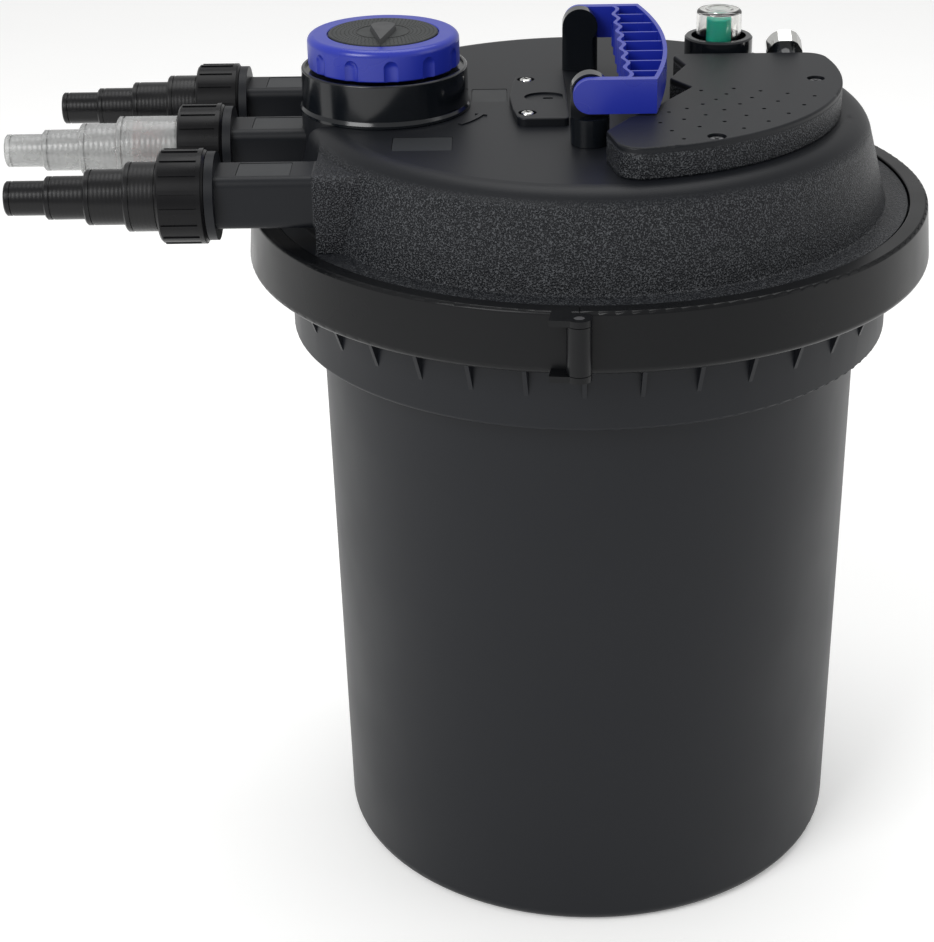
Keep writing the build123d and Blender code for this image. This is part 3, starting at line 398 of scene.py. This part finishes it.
def lamp_glass(finish):
    # Soft glass of the lamp: clear, with a milky bloom towards the electrodes.
    material, tree, place = start_material("Glass, lamp tube")
    bloom = clouds(tree, place, 40.0, 2.0)
    finish_material(
        tree,
        {
            "Base Color": tinted(tree, bloom, finish.glass_colour, 0.03),
            "Roughness": between(tree, bloom, 0.02, 0.2),
            "Transmission Weight": 0.8,
            "IOR": 1.51,
        },
    )
    return material


def steatite(finish):
    # Unglazed steatite of the lamp's socket: off-white, matt and slightly gritty.
    return moulded("Steatite ceramic, unglazed", finish.ceramic_colour, 0.7, 0.5, 0.03, 0.05, 5.0, IOR=1.6)


def ballast_aluminium(finish):
    # Rolled aluminium of the ballast's case: fine lines along the sheet.
    material, tree, place = start_material("Aluminium, rolled sheet")
    lines = add(tree, "Mapping", {"Vector": place, "Scale": (12.0, 0.4, 12.0)}).outputs["Vector"]
    roll = clouds(tree, lines, 6.0, 3.0)
    finish_material(
        tree,
        {
            "Base Color": tinted(tree, roll, finish.aluminium_colour, 0.05),
            "Metallic": 1.0,
            "Roughness": between(tree, roll, 0.28, 0.42),
            "Normal": relief(tree, roll, 0.005),
        },
    )
    return material


def inner_abs(finish):
    # Unpainted ABS of the parts inside: plain black with the dull marks of an unpolished tool.
    return moulded("ABS, plain black", finish.inner_colour, 0.5, 1.2, 0.02, 0.1, 40.0)


def open_cell_foam(name, colour, cell_mm):
    # Open-cell polyurethane foam: soft and without gloss. Its cells are drawn dark between pale struts, as
    # painted shade in the pores.
    material, tree, place = start_material(name)
    cells = add(
        tree, "TexVoronoi", {"Vector": place, "Scale": per_metre(cell_mm)}, feature="SMOOTH_F1"
    ).outputs["Distance"]
    # painted shade: the middles of the cells are drawn darker than the struts
    painted_pore_shade = add(tree, "MapRange", {"Value": cells, "From Min": 0.1, "From Max": 0.6}).outputs["Result"]
    finish_material(
        tree,
        {
            "Base Color": tinted(tree, painted_pore_shade, colour, 0.45),
            "Roughness": 0.9,
            "Normal": relief(tree, cells, -0.8),
            "Sheen Weight": 0.25,
            "IOR": 1.45,
        },
    )
    return material


def coarse_foam(finish):
    # Blue coarse grade, cells about 2.5 mm across.
    return open_cell_foam("Polyurethane foam, coarse blue", finish.coarse_colour, 2.5)


def fine_foam(finish):
    # Green fine grade, cells about 1.4 mm across.
    return open_cell_foam("Polyurethane foam, fine green", finish.fine_colour, 1.4)


def bio_ceramic(finish):
    # Fired porous clay rings: buff, dry and pitted.
    return moulded("Clay, fired porous", finish.media_colour, 0.85, 0.7, 0.12, 0.18, 7.0, IOR=1.55)


def dress(node, material):
    """Gives a carried-over part its finish."""
    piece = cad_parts[node]
    if not piece.material_slots:
        piece.data.materials.append(material)
    for slot in piece.material_slots:
        slot.material = material


def dress_all(material, *nodes):
    for node in nodes:
        dress(node, material)


# ---------------------------------------------------------------- new pieces


def piece_from(bm, name, material, body):
    """Makes an object of a bmesh, in its place, with its finish, and sets what it moves with."""
    bmesh.ops.remove_doubles(bm, verts=bm.verts, dist=1e-7)
    bmesh.ops.recalc_face_normals(bm, faces=bm.faces)
    mesh = bpy.data.meshes.new(name)
    bm.to_mesh(mesh)
    bm.free()
    piece = bpy.data.objects.new(name, mesh)
    bpy.context.scene.collection.objects.link(piece)
    mesh.materials.append(material)
    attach(piece, body)
    return piece


def centre(node):
    low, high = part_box(node)
    return (low + high) / 2


def stamp(bm, template, matrix):
    """Adds a moved copy of a small mesh."""
    before = len(bm.verts)
    bm.from_mesh(template)
    bm.verts.ensure_lookup_table()
    bmesh.ops.transform(bm, matrix=matrix, verts=bm.verts[before:])


def template_mesh(name, build):
    """A small mesh that is copied many times."""
    bm = bmesh.new()
    build(bm)
    bmesh.ops.recalc_face_normals(bm, faces=bm.faces)
    mesh = bpy.data.meshes.new(name)
    bm.to_mesh(mesh)
    bm.free()
    return mesh


def dial_dots(dial):
    """Rows of small dots about the dial."""
    low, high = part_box("knob_disc")
    middle = (low + high) / 2

    def dot(bm):
        bmesh.ops.create_circle(bm, cap_ends=True, radius=dial.dot_radius * MM, segments=8)
        faces = bmesh.ops.extrude_face_region(bm, geom=bm.faces[:])["geom"]
        top = [v for v in faces if isinstance(v, bmesh.types.BMVert)]
        bmesh.ops.translate(bm, vec=(0, 0, dial.dot_height * MM), verts=top)
        bmesh.ops.scale(bm, vec=(0.7, 0.7, 1), verts=top)

    template = template_mesh("dot", dot)
    bm = bmesh.new()
    for row in range(dial.dot_rows):
        radius = (dial.dot_outer_r - row * dial.dot_pitch) * MM
        count = round(math.tau * radius / (dial.dot_pitch * MM))
        for i in range(count):
            angle = (i + 0.5 * (row % 2)) * math.tau / count
            spoke = Vector((radius * math.cos(angle), radius * math.sin(angle), 0))
            place = Vector((middle.x, middle.y, high.z - 0.05 * MM)) + spoke
            stamp(bm, template, Matrix.Translation(place))
    return bm


def dial_line(dial):
    """A thin raised line about the middle of the dial."""
    low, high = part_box("knob_disc")
    middle = (low + high) / 2
    bm = bmesh.new()
    inner, outer = dial.line_r * MM, (dial.line_r + dial.line_width) * MM
    z0, z1 = high.z - 0.1 * MM, high.z + 0.2 * MM
    corners = [(inner, z0), (outer, z0), (outer, z1), (inner, z1)]
    ring = [bm.verts.new((middle.x + r, middle.y, z)) for r, z in corners]
    edges = [bm.edges.new((ring[i], ring[(i + 1) % 4])) for i in range(4)]
    bmesh.ops.spin(
        bm, geom=ring + edges, cent=middle, axis=(0, 0, 1), angle=math.tau, steps=96, use_merge=True
    )
    return bm


def plate(bm, middle, length, width, thickness):
    """A thin flat plate, by the middle of its top."""
    place = Matrix.Translation(middle - Vector((0, 0, thickness / 2)))
    bmesh.ops.create_cube(bm, size=1.0, matrix=place @ Matrix.Diagonal((length, width, thickness, 1.0)))


def label_plates(labels):
    """Bare label plates in the shallow places on the conduits and on the lid."""
    bm = bmesh.new()
    sunk = labels.sunk * MM
    thickness = labels.thickness * MM
    for row in ("front", "middle", "rear"):
        union = centre(f"union_nut_{row}")
        top = Vector((labels.conduit_x * MM, union.y, union.z + labels.conduit_half_height * MM - sunk))
        plate(bm, top, labels.conduit_length * MM, labels.conduit_width * MM, thickness)
    lid_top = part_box("selector_collar")[0].z - sunk
    for spot, size in ((labels.lid_place_1, labels.lid_size_1), (labels.lid_place_2, labels.lid_size_2)):
        plate(bm, Vector((spot[0] * MM, spot[1] * MM, lid_top)), size[0] * MM, size[1] * MM, thickness)
    return bm


def foam_disc(node, bed):
    """A foam disc with soft rims, cut through for the pipe, the lamp and the rods."""
    low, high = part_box(node)
    radius = (high.x - low.x) / 2
    bm = bmesh.new()
    bmesh.ops.create_circle(bm, cap_ends=False, radius=radius, segments=96)
    holes = [(centre(name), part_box(name)) for name in ("standpipe", "quartz_sleeve")]
    cuts = [(mid, (size[1].x - size[0].x) / 2 + bed.hole_gap * MM) for mid, size in holes]
    rod_low, rod_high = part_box("pull_rods")
    rod_r = (rod_high.x - rod_low.x) / 2
    for y in (rod_low.y + rod_r, rod_high.y - rod_r):
        cuts.append((Vector((rod_low.x + rod_r, y, 0)), rod_r + bed.rod_gap * MM))
    for mid, cut_r in cuts:
        where = Matrix.Translation((mid.x, mid.y, 0))
        bmesh.ops.create_circle(bm, cap_ends=False, radius=cut_r, segments=32, matrix=where)
    bmesh.ops.triangle_fill(bm, use_beauty=True, use_dissolve=False, edges=bm.edges[:])
    bmesh.ops.translate(bm, vec=(0, 0, low.z), verts=bm.verts[:])
    grown = bmesh.ops.extrude_face_region(bm, geom=bm.faces[:])["geom"]
    top = [v for v in grown if isinstance(v, bmesh.types.BMVert)]
    bmesh.ops.translate(bm, vec=(0, 0, high.z - low.z), verts=top)
    bmesh.ops.recalc_face_normals(bm, faces=bm.faces)
    rims = [e for e in bm.edges if len(e.link_faces) == 2 and e.calc_face_angle(0.0) > 1.0]
    bmesh.ops.bevel(
        bm,
        geom=rims,
        offset=bed.foam_edge * MM,
        offset_type="OFFSET",
        segments=3,
        profile=0.5,
        affect="EDGES",
        material=-1,
    )
    return bm


def clay_rings(bed):
    """Short clay rings that lie in layers over the floor of the tray."""
    low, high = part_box("media_pack")
    radius = (high.x - low.x) / 2
    pipe = centre("standpipe")
    pipe_low, pipe_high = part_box("standpipe")
    pipe_r = (pipe_high.x - pipe_low.x) / 2
    outer, bore, half = bed.ring_outer * MM / 2, bed.ring_bore * MM / 2, bed.ring_length * MM / 2

    def ring(bm):
        corners = [(bore, -half), (outer, -half), (outer, half), (bore, half)]
        loop = [bm.verts.new((r, 0, z)) for r, z in corners]
        edges = [bm.edges.new((loop[i], loop[(i + 1) % 4])) for i in range(4)]
        bmesh.ops.spin(
            bm, geom=loop + edges, cent=(0, 0, 0), axis=(0, 0, 1), angle=math.tau, steps=8, use_merge=True
        )

    template = template_mesh("clay_ring", ring)
    draw = random.Random(7)
    pitch = 2 * math.hypot(outer, half) + bed.ring_slack * MM
    bm = bmesh.new()
    layers = int((high.z - low.z) / (2 * outer + 0.4 * MM))
    for layer in range(layers):
        z = low.z + outer + layer * (high.z - low.z - 2 * outer) / max(layers - 1, 1)
        rows = int(2 * radius / (pitch * 0.87))
        for row in range(-rows // 2, rows // 2 + 1):
            y = row * pitch * 0.87 + (layer % 2) * pitch * 0.3
            for column in range(-rows // 2, rows // 2 + 1):
                x = (column + 0.5 * (row % 2) + 0.25 * (layer % 2)) * pitch
                inside = math.hypot(x, y) + pitch / 2 < radius
                if inside and math.hypot(x - pipe.x, y - pipe.y) > pipe_r + pitch / 2 + bed.hole_gap * MM:
                    turn = Euler((math.pi / 2, 0, draw.uniform(0, math.tau))).to_matrix().to_4x4()
                    stamp(bm, template, Matrix.Translation((x, y, z)) @ turn)
    return bm


# ---------------------------------------------------------------- settings


def colour_setting(name, description, hex_colour):
    return FloatVectorProperty(
        name=name,
        description=description,
        subtype="COLOR",
        size=3,
        min=0.0,
        max=1.0,
        default=linear(hex_colour),
    )


def length_setting(name, description, millimetres):
    words = description + ", in millimetres"
    return FloatProperty(name=name, description=words, default=millimetres, min=0.0)


def share_setting(name, description, value):
    return FloatProperty(
        name=name, description=description, subtype="FACTOR", default=value, min=0.0, max=1.0
    )


class PondFilterFinish(bpy.types.PropertyGroup):
    """Colours and gloss of the moulded, metal and glass parts."""

    bucket_colour: colour_setting("Bucket", "Colour of the bucket", "#16181C")
    bucket_roughness: share_setting("Bucket roughness", "Roughness of the bucket's skin", 0.42)
    lid_colour: colour_setting("Lid", "Colour of the lid and its covers", "#111317")
    lid_roughness: share_setting("Lid roughness", "Roughness of the lid's satin top", 0.42)
    dome_height: length_setting("Dome height", "Height of the grained wall, from the lid's top", 56.0)
    shoulder: length_setting("Shoulder", "Satin height of the dome's shoulder above the grain", 5.0)
    manifold_face: length_setting("Manifold face", "Distance from the bucket's axis to the face", 161.2)
    grain_fade: length_setting("Grain fade", "Height over which the grain fades out", 6.0)
    # the grain's points of light are painted highlights, in this lighter colour
    painted_glint_colour: colour_setting("Painted grain glints", "Colour of the grain's points of light", "#47494C")
    ring_colour: colour_setting("Clamp ring", "Colour of the clamp ring", "#0B0C0E")
    ring_roughness: share_setting("Clamp ring roughness", "Roughness of the clamp ring", 0.3)
    # the faint blue in this black is a painted reflection of the blue knob
    gloss_black_and_painted_reflection: colour_setting("Glossy parts", "Colour of the collar, posts and socket", "#0F1216")
    fitting_colour: colour_setting("Hose fittings", "Colour of the unions and tails", "#0A0A0C")
    clear_colour: colour_setting("Clear parts", "Colour of the clear tail and cap", "#C6C7C6")
    cap_colour: colour_setting("Indicator cap", "Colour of the indicator's cap", "#F1F1EF")
    film_colour: colour_setting("Label film", "Colour of the bare label plates", "#26282A")
    float_colour: colour_setting("Flow float", "Colour of the flow float", "#D8432A")
    core_colour: colour_setting("Indicator", "Colour of the indicator's light guide", "#34D8B8")
    blue_colour: colour_setting("Knob and handle", "Colour of the parts that a hand moves", "#1B2A98")
    blue_roughness: share_setting("Knob roughness", "Roughness of the knob and handle", 0.3)
    dial_colour: colour_setting("Dial", "Colour of the dial plate", "#272A2A")
    pointer_colour: colour_setting("Pointer", "Colour of the dial's pointer", "#232527")
    dot_colour: colour_setting("Dial dots", "Colour of the dial's dots and line", "#101112")
    plate_colour: colour_setting("Plated steel", "Colour of the plated screws and nut", "#D9D9D6")
    steel_colour: colour_setting("Turned steel", "Colour of the pins, rods and nuts", "#A3A3A5")
    rubber_colour: colour_setting("Rubber", "Colour of the seals", "#161616")
    glass_colour: colour_setting("Glass", "Colour of the quartz and lamp glass", "#F6F9FA")
    ceramic_colour: colour_setting("Ceramic", "Colour of the lamp's socket", "#E4E1D8")
    aluminium_colour: colour_setting("Aluminium", "Colour of the ballast's case", "#C4C5C7")
    inner_colour: colour_setting("Inner parts", "Colour of the parts inside the bucket", "#1E1F21")


class PondFilterBed(bpy.types.PropertyGroup):
    """Sizes and colours of the foams and the clay rings."""

    coarse_colour: colour_setting("Coarse foam", "Colour of the coarse foam", "#2F5FA8")
    fine_colour: colour_setting("Fine foam", "Colour of the fine foam", "#2E7A55")
    media_colour: colour_setting("Clay rings", "Colour of the clay rings", "#A8917A")
    foam_edge: length_setting("Foam edge", "Rounding of the foam's cut edges", 2.0)
    hole_gap: length_setting("Hole gap", "Gap about the pipe and the lamp", 3.2)
    rod_gap: length_setting("Rod gap", "Gap about each pull rod", 0.4)
    ring_outer: length_setting("Ring diameter", "Diameter of a clay ring", 10.0)
    ring_bore: length_setting("Ring bore", "Bore of a clay ring", 5.0)
    ring_length: length_setting("Ring length", "Length of a clay ring", 10.0)
    ring_slack: length_setting("Ring slack", "Gap between clay rings", 0.3)


class PondFilterDial(bpy.types.PropertyGroup):
    """Sizes of the dots and the line on the dial."""

    dot_radius: length_setting("Dot radius", "Radius of a dot", 0.55)
    dot_height: length_setting("Dot height", "Height of a dot", 0.18)
    dot_outer_r: length_setting("Outer row", "Radius of the outer row of dots", 30.6)
    dot_pitch: length_setting("Dot pitch", "Distance from dot to dot and from row to row", 2.5)
    dot_rows: IntProperty(name="Dot rows", description="Rows of dots", default=6, min=1, max=10)
    line_r: length_setting("Line radius", "Radius of the line inside the dots", 15.6)
    line_width: length_setting("Line width", "Width of that line", 0.8)


def angle_setting(name, description, degrees):
    return FloatProperty(name=name, description=description, subtype="ANGLE", default=math.radians(degrees))


def power_setting(name, description, watts):
    return FloatProperty(name=name, description=description, unit="POWER", default=watts, min=0.0)


def pair_setting(name, description, millimetres):
    words = description + ", along X and Y in millimetres"
    return FloatVectorProperty(name=name, description=words, subtype="XYZ", size=2, default=millimetres)


class PondFilterLabels(bpy.types.PropertyGroup):
    """Sizes and places of the bare label plates."""

    conduit_x: FloatProperty(name="Conduit place", description="Place along the conduits", default=-190.0)
    conduit_half_height: length_setting("Conduit height", "Conduit's top over its axis", 15.5)
    conduit_length: length_setting("Conduit plate length", "Length of a plate on a conduit", 30.4)
    conduit_width: length_setting("Conduit plate width", "Width of a plate on a conduit", 22.4)
    lid_place_1: pair_setting("Lid plate 1", "Place of the first plate on the lid", (-60.8, 19.0))
    lid_size_1: pair_setting("Lid plate 1 size", "Size of the first plate on the lid", (21.4, 27.4))
    lid_place_2: pair_setting("Lid plate 2", "Place of the second plate on the lid", (-99.5, -79.0))
    lid_size_2: pair_setting("Lid plate 2 size", "Size of the second plate on the lid", (34.4, 25.4))
    thickness: length_setting("Plate thickness", "Thickness of a plate", 0.3)
    sunk: length_setting("Plate depth", "Depth of a plate's face under the surface", 0.2)


class PondFilterStudio(bpy.types.PropertyGroup):
    """The camera, the floor and the soft lights."""

    lens: FloatProperty(
        name="Lens", description="Focal length", subtype="DISTANCE_CAMERA", default=79.42, min=10.0
    )
    shift: FloatVectorProperty(
        name="Shift", description="Shift of the picture", size=2, default=(-0.06895, -0.01246)
    )
    viewpoint: FloatVectorProperty(
        name="Viewpoint",
        description="Place of the camera",
        subtype="XYZ",
        unit="LENGTH",
        size=3,
        default=(-0.053208, -1.237403, 0.855465),
    )
    heading: angle_setting("Heading", "Turn of the camera to the right", 0.757)
    tilt: angle_setting("Tilt", "Tilt of the camera from straight down", 64.002)
    roll: angle_setting("Roll", "Roll of the camera", -0.552)
    floor_colour: colour_setting("Floor", "Colour of the floor", "#F6F6F5")
    key_power: power_setting("Key light", "Power of the key light", 38.0)
    fill_power: power_setting("Fill light", "Power of the fill light", 5.0)
    top_power: power_setting("Top light", "Power of the top light", 16.0)
    sky_strength: share_setting("Surroundings", "Brightness of the white surroundings", 0.62)


class PondFilterSettings(bpy.types.PropertyGroup):
    """All settings of the pond filter."""

    finish: PointerProperty(type=PondFilterFinish, name="Finish", description="Colours and gloss")
    bed: PointerProperty(type=PondFilterBed, name="Filter bed", description="Foams and clay rings")
    dial: PointerProperty(type=PondFilterDial, name="Dial", description="Dots and line of the dial")
    labels: PointerProperty(type=PondFilterLabels, name="Labels", description="Bare label plates")
    studio: PointerProperty(type=PondFilterStudio, name="Studio", description="Camera, floor and lights")


# ---------------------------------------------------------------- operators


class PondFilterOperator:
    bl_options = {"REGISTER", "UNDO"}

    def execute(self, context):
        self.make(context.scene.pond_filter)
        return {"FINISHED"}


class POND_OT_bucket(PondFilterOperator, bpy.types.Operator):
    """Finish the bucket in smooth grey polypropylene"""

    bl_idname = "pond.bucket"
    bl_label = "Bucket"

    def make(self, settings):
        dress("bucket", bucket_polypropylene(settings.finish))


class POND_OT_clamp(PondFilterOperator, bpy.types.Operator):
    """Finish the clamp ring and its latch"""

    bl_idname = "pond.clamp"
    bl_label = "Clamp ring"

    def make(self, settings):
        black = clamp_polypropylene(settings.finish)
        dress_all(black, "clamp_ring_left", "clamp_ring_right", "latch_lever")


class POND_OT_lid(PondFilterOperator, bpy.types.Operator):
    """Finish the lid, the ballast cover and the rod plate"""

    bl_idname = "pond.lid"
    bl_label = "Lid and covers"

    def make(self, settings):
        finish = settings.finish
        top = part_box("selector_collar")[0].z
        step = top - finish.dome_height * MM
        wall_top = top - finish.shoulder * MM
        fade = finish.grain_fade * MM
        dress_all(sandy_abs("ABS, sandy dome wall", finish, step, wall_top, fade), "lid", "rod_plate")
        low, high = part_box("ballast_cover")
        cover_top = high.z - fade / 2
        dress("ballast_cover", sandy_abs("ABS, sandy cover wall", finish, low.z, cover_top, fade / 4))


class POND_OT_labels(PondFilterOperator, bpy.types.Operator):
    """Add the bare label plates of the conduits and the lid"""

    bl_idname = "pond.labels"
    bl_label = "Label plates"

    def make(self, settings):
        film = label_film(settings.finish)
        piece_from(label_plates(settings.labels), "label_plates", film, "base")


class POND_OT_fittings(PondFilterOperator, bpy.types.Operator):
    """Finish the unions, the hose tails and the flow float"""

    bl_idname = "pond.fittings"
    bl_label = "Hose fittings"

    def make(self, settings):
        unions = [f"union_nut_{row}" for row in ("front", "middle", "rear")]
        dress_all(fitting_abs(settings.finish), *unions)
        dress_all(tail_abs(settings.finish), "hose_tail_front", "hose_tail_rear")
        dress("hose_tail_middle", clear_polycarbonate(settings.finish))
        dress("flow_float", float_polypropylene(settings.finish))


class POND_OT_selector(PondFilterOperator, bpy.types.Operator):
    """Finish the flow selector and add the dots and the line of its dial"""

    bl_idname = "pond.selector"
    bl_label = "Flow selector"

    def make(self, settings):
        dress("selector_collar", gloss_abs(settings.finish))
        dress("selector_knob", blue_abs(settings.finish))
        dress("knob_disc", dial_abs(settings.finish))
        dress("knob_pointer", pointer_abs(settings.finish))
        dark = dimple_black(settings.finish)
        piece_from(dial_dots(settings.dial), "dial_dots", dark, "knob")
        piece_from(dial_line(settings.dial), "dial_line", dark, "knob")


class POND_OT_handle(PondFilterOperator, bpy.types.Operator):
    """Finish the cleaning handle and its two posts"""

    bl_idname = "pond.handle"
    bl_label = "Cleaning handle"

    def make(self, settings):
        dress("cleaning_handle", blue_abs(settings.finish))
        dress_all(gloss_abs(settings.finish), "post_front", "post_rear")


class POND_OT_indicator(PondFilterOperator, bpy.types.Operator):
    """Finish the lamp indicator: socket, light guide and clear cap"""

    bl_idname = "pond.indicator"
    bl_label = "Lamp indicator"

    def make(self, settings):
        dress("indicator_socket", gloss_abs(settings.finish))
        dress("indicator_core", core_acrylic(settings.finish))
        dress("indicator_lens", cap_polycarbonate(settings.finish))


class POND_OT_hardware(PondFilterOperator, bpy.types.Operator):
    """Finish the screws, pins, rods, nuts and the cable gland"""

    bl_idname = "pond.hardware"
    bl_label = "Metal parts and gland"

    def make(self, settings):
        dress_all(plated_steel(settings.finish), "rod_plate_screws", "gland_nut")
        pins = ("clamp_hinge_pin", "latch_pin", "handle_pins")
        rods = ("pull_rods", "rod_nuts", "ballast_cover_screws")
        dress_all(turned_steel(settings.finish), *pins, *rods)
        dress("gland_body", gloss_abs(settings.finish))


class POND_OT_seals(PondFilterOperator, bpy.types.Operator):
    """Finish the rubber seals"""

    bl_idname = "pond.seals"
    bl_label = "Seals"

    def make(self, settings):
        seals = ("lid_seal", "rod_seals", "union_seals", "sleeve_seal", "gland_seal")
        dress_all(nitrile(settings.finish), *seals)


class POND_OT_clarifier(PondFilterOperator, bpy.types.Operator):
    """Finish the lamp, its quartz sleeve, its socket and the ballast"""

    bl_idname = "pond.clarifier"
    bl_label = "Ultraviolet unit"

    def make(self, settings):
        dress("quartz_sleeve", fused_quartz(settings.finish))
        dress("uv_lamp", lamp_glass(settings.finish))
        dress("lamp_socket", steatite(settings.finish))
        dress("ballast", ballast_aluminium(settings.finish))


class POND_OT_inner_parts(PondFilterOperator, bpy.types.Operator):
    """Finish the valve, the standpipe, the pull plate and the tray"""

    bl_idname = "pond.inner_parts"
    bl_label = "Inner parts"

    def make(self, settings):
        parts = ("valve_rotor", "valve_housing", "standpipe", "sleeve_collar", "pull_plate", "media_tray")
        dress_all(inner_abs(settings.finish), *parts)


class POND_OT_foams(PondFilterOperator, bpy.types.Operator):
    """Make the four foam discs"""

    bl_idname = "pond.foams"
    bl_label = "Foam discs"

    def make(self, settings):
        grades = {"foam_coarse": coarse_foam(settings.bed), "foam_fine": fine_foam(settings.bed)}
        for index, slot in enumerate(("foam_coarse", "foam_coarse", "foam_fine", "foam_fine")):
            node = f"foam_disc_{index + 1}"
            foam = foam_disc(node, settings.bed)
            piece = piece_from(foam, node + "_cut_foam", grades[slot], "yoke")
            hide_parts(node)


class POND_OT_clay_rings(PondFilterOperator, bpy.types.Operator):
    """Fill the tray with clay rings"""

    bl_idname = "pond.clay_rings"
    bl_label = "Clay rings"

    def make(self, settings):
        clay = bio_ceramic(settings.bed)
        piece = piece_from(clay_rings(settings.bed), "clay_rings", clay, "base")
        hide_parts("media_pack")


def soft_light(name, place, target, size, power, colour=(1.0, 1.0, 1.0)):
    """A large square light that faces a point."""
    light = bpy.data.lights.new(name, "AREA")
    light.shape = "RECTANGLE"
    light.size, light.size_y = size
    light.energy = power
    light.color = colour
    lamp = bpy.data.objects.new(name, light)
    lamp.location = place
    lamp.rotation_euler = (Vector(target) - Vector(place)).to_track_quat("-Z", "Y").to_euler()
    bpy.context.scene.collection.objects.link(lamp)


def pale_floor(colour):
    # Matt white paper: even and pale, with a trace of tooth.
    # A lit paper ground glows a little by itself, so that it stays white out to the horizon.
    glow = {"IOR": 1.4, "Emission Color": (1.0, 1.0, 1.0, 1.0), "Emission Strength": 0.2}
    return moulded("Paper, matt white", colour, 0.9, 2.0, 0.02, 0.01, 200.0, **glow)


class POND_OT_studio(PondFilterOperator, bpy.types.Operator):
    """Set up the camera, the pale floor and the soft lights"""

    bl_idname = "pond.studio"
    bl_label = "Studio"

    def make(self, settings):
        studio = settings.studio
        scene = bpy.context.scene
        camera = bpy.data.objects.new("camera", bpy.data.cameras.new("camera"))
        camera.data.lens = studio.lens
        camera.data.sensor_width = 36.0
        camera.data.shift_x, camera.data.shift_y = studio.shift
        camera.location = studio.viewpoint
        turns = Matrix.Rotation(-studio.heading, 3, "Z") @ Matrix.Rotation(studio.tilt, 3, "X")
        camera.rotation_euler = (turns @ Matrix.Rotation(studio.roll, 3, "Z")).to_euler()
        scene.collection.objects.link(camera)
        scene.camera = camera
        # the plain display transform keeps the white ground white and the blacks deep
        scene.view_settings.view_transform = "Standard"

        bm = bmesh.new()
        bmesh.ops.create_grid(bm, x_segments=4, y_segments=4, size=6.0)
        mesh = bpy.data.meshes.new("floor")
        bm.to_mesh(mesh)
        bm.free()
        floor = bpy.data.objects.new("floor", mesh)
        mesh.materials.append(pale_floor(studio.floor_colour))
        scene.collection.objects.link(floor)

        middle = (0.0, 0.0, 0.35)
        soft_light("key_light", (-1.5, -1.7, 1.9), middle, (1.3, 1.3), studio.key_power)
        soft_light("fill_light", (1.9, -0.6, 1.0), middle, (0.9, 1.6), studio.fill_power)
        soft_light("top_light", (0.1, 0.5, 2.2), middle, (1.6, 1.2), studio.top_power)
        world = bpy.data.worlds.new("surroundings")
        world.use_nodes = True
        background = world.node_tree.nodes["Background"]
        background.inputs["Color"].default_value = (1.0, 1.0, 1.0, 1.0)
        background.inputs["Strength"].default_value = studio.sky_strength
        scene.world = world


OPERATORS = (
    POND_OT_studio,
    POND_OT_bucket,
    POND_OT_clamp,
    POND_OT_lid,
    POND_OT_labels,
    POND_OT_fittings,
    POND_OT_selector,
    POND_OT_handle,
    POND_OT_indicator,
    POND_OT_hardware,
    POND_OT_seals,
    POND_OT_clarifier,
    POND_OT_inner_parts,
    POND_OT_foams,
    POND_OT_clay_rings,
)


class POND_PT_sidebar(bpy.types.Panel):
    """Pond filter pieces"""

    bl_idname = "POND_PT_sidebar"
    bl_label = "Pond filter"
    bl_space_type = "VIEW_3D"
    bl_region_type = "UI"
    bl_category = "Pond filter"

    def draw(self, context):
        settings = context.scene.pond_filter
        for operator in OPERATORS:
            self.layout.operator(operator.bl_idname)
        for group in (settings.finish, settings.bed, settings.dial, settings.labels, settings.studio):
            box = self.layout.box()
            for name in group.bl_rna.properties.keys():
                if name not in ("rna_type", "name"):
                    box.prop(group, name)


CLASSES = (
    PondFilterFinish,
    PondFilterBed,
    PondFilterDial,
    PondFilterLabels,
    PondFilterStudio,
    PondFilterSettings,
    *OPERATORS,
    POND_PT_sidebar,
)


def register():
    for item in CLASSES:
        bpy.utils.register_class(item)
    bpy.types.Scene.pond_filter = PointerProperty(type=PondFilterSettings)


def unregister():
    del bpy.types.Scene.pond_filter
    for item in reversed(CLASSES):
        bpy.utils.unregister_class(item)


def main():
    """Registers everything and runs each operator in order."""
    register()
    for operator in OPERATORS:
        group, name = operator.bl_idname.split(".")
        getattr(getattr(bpy.ops, group), name)()


if __name__ == "__main__":
    main()
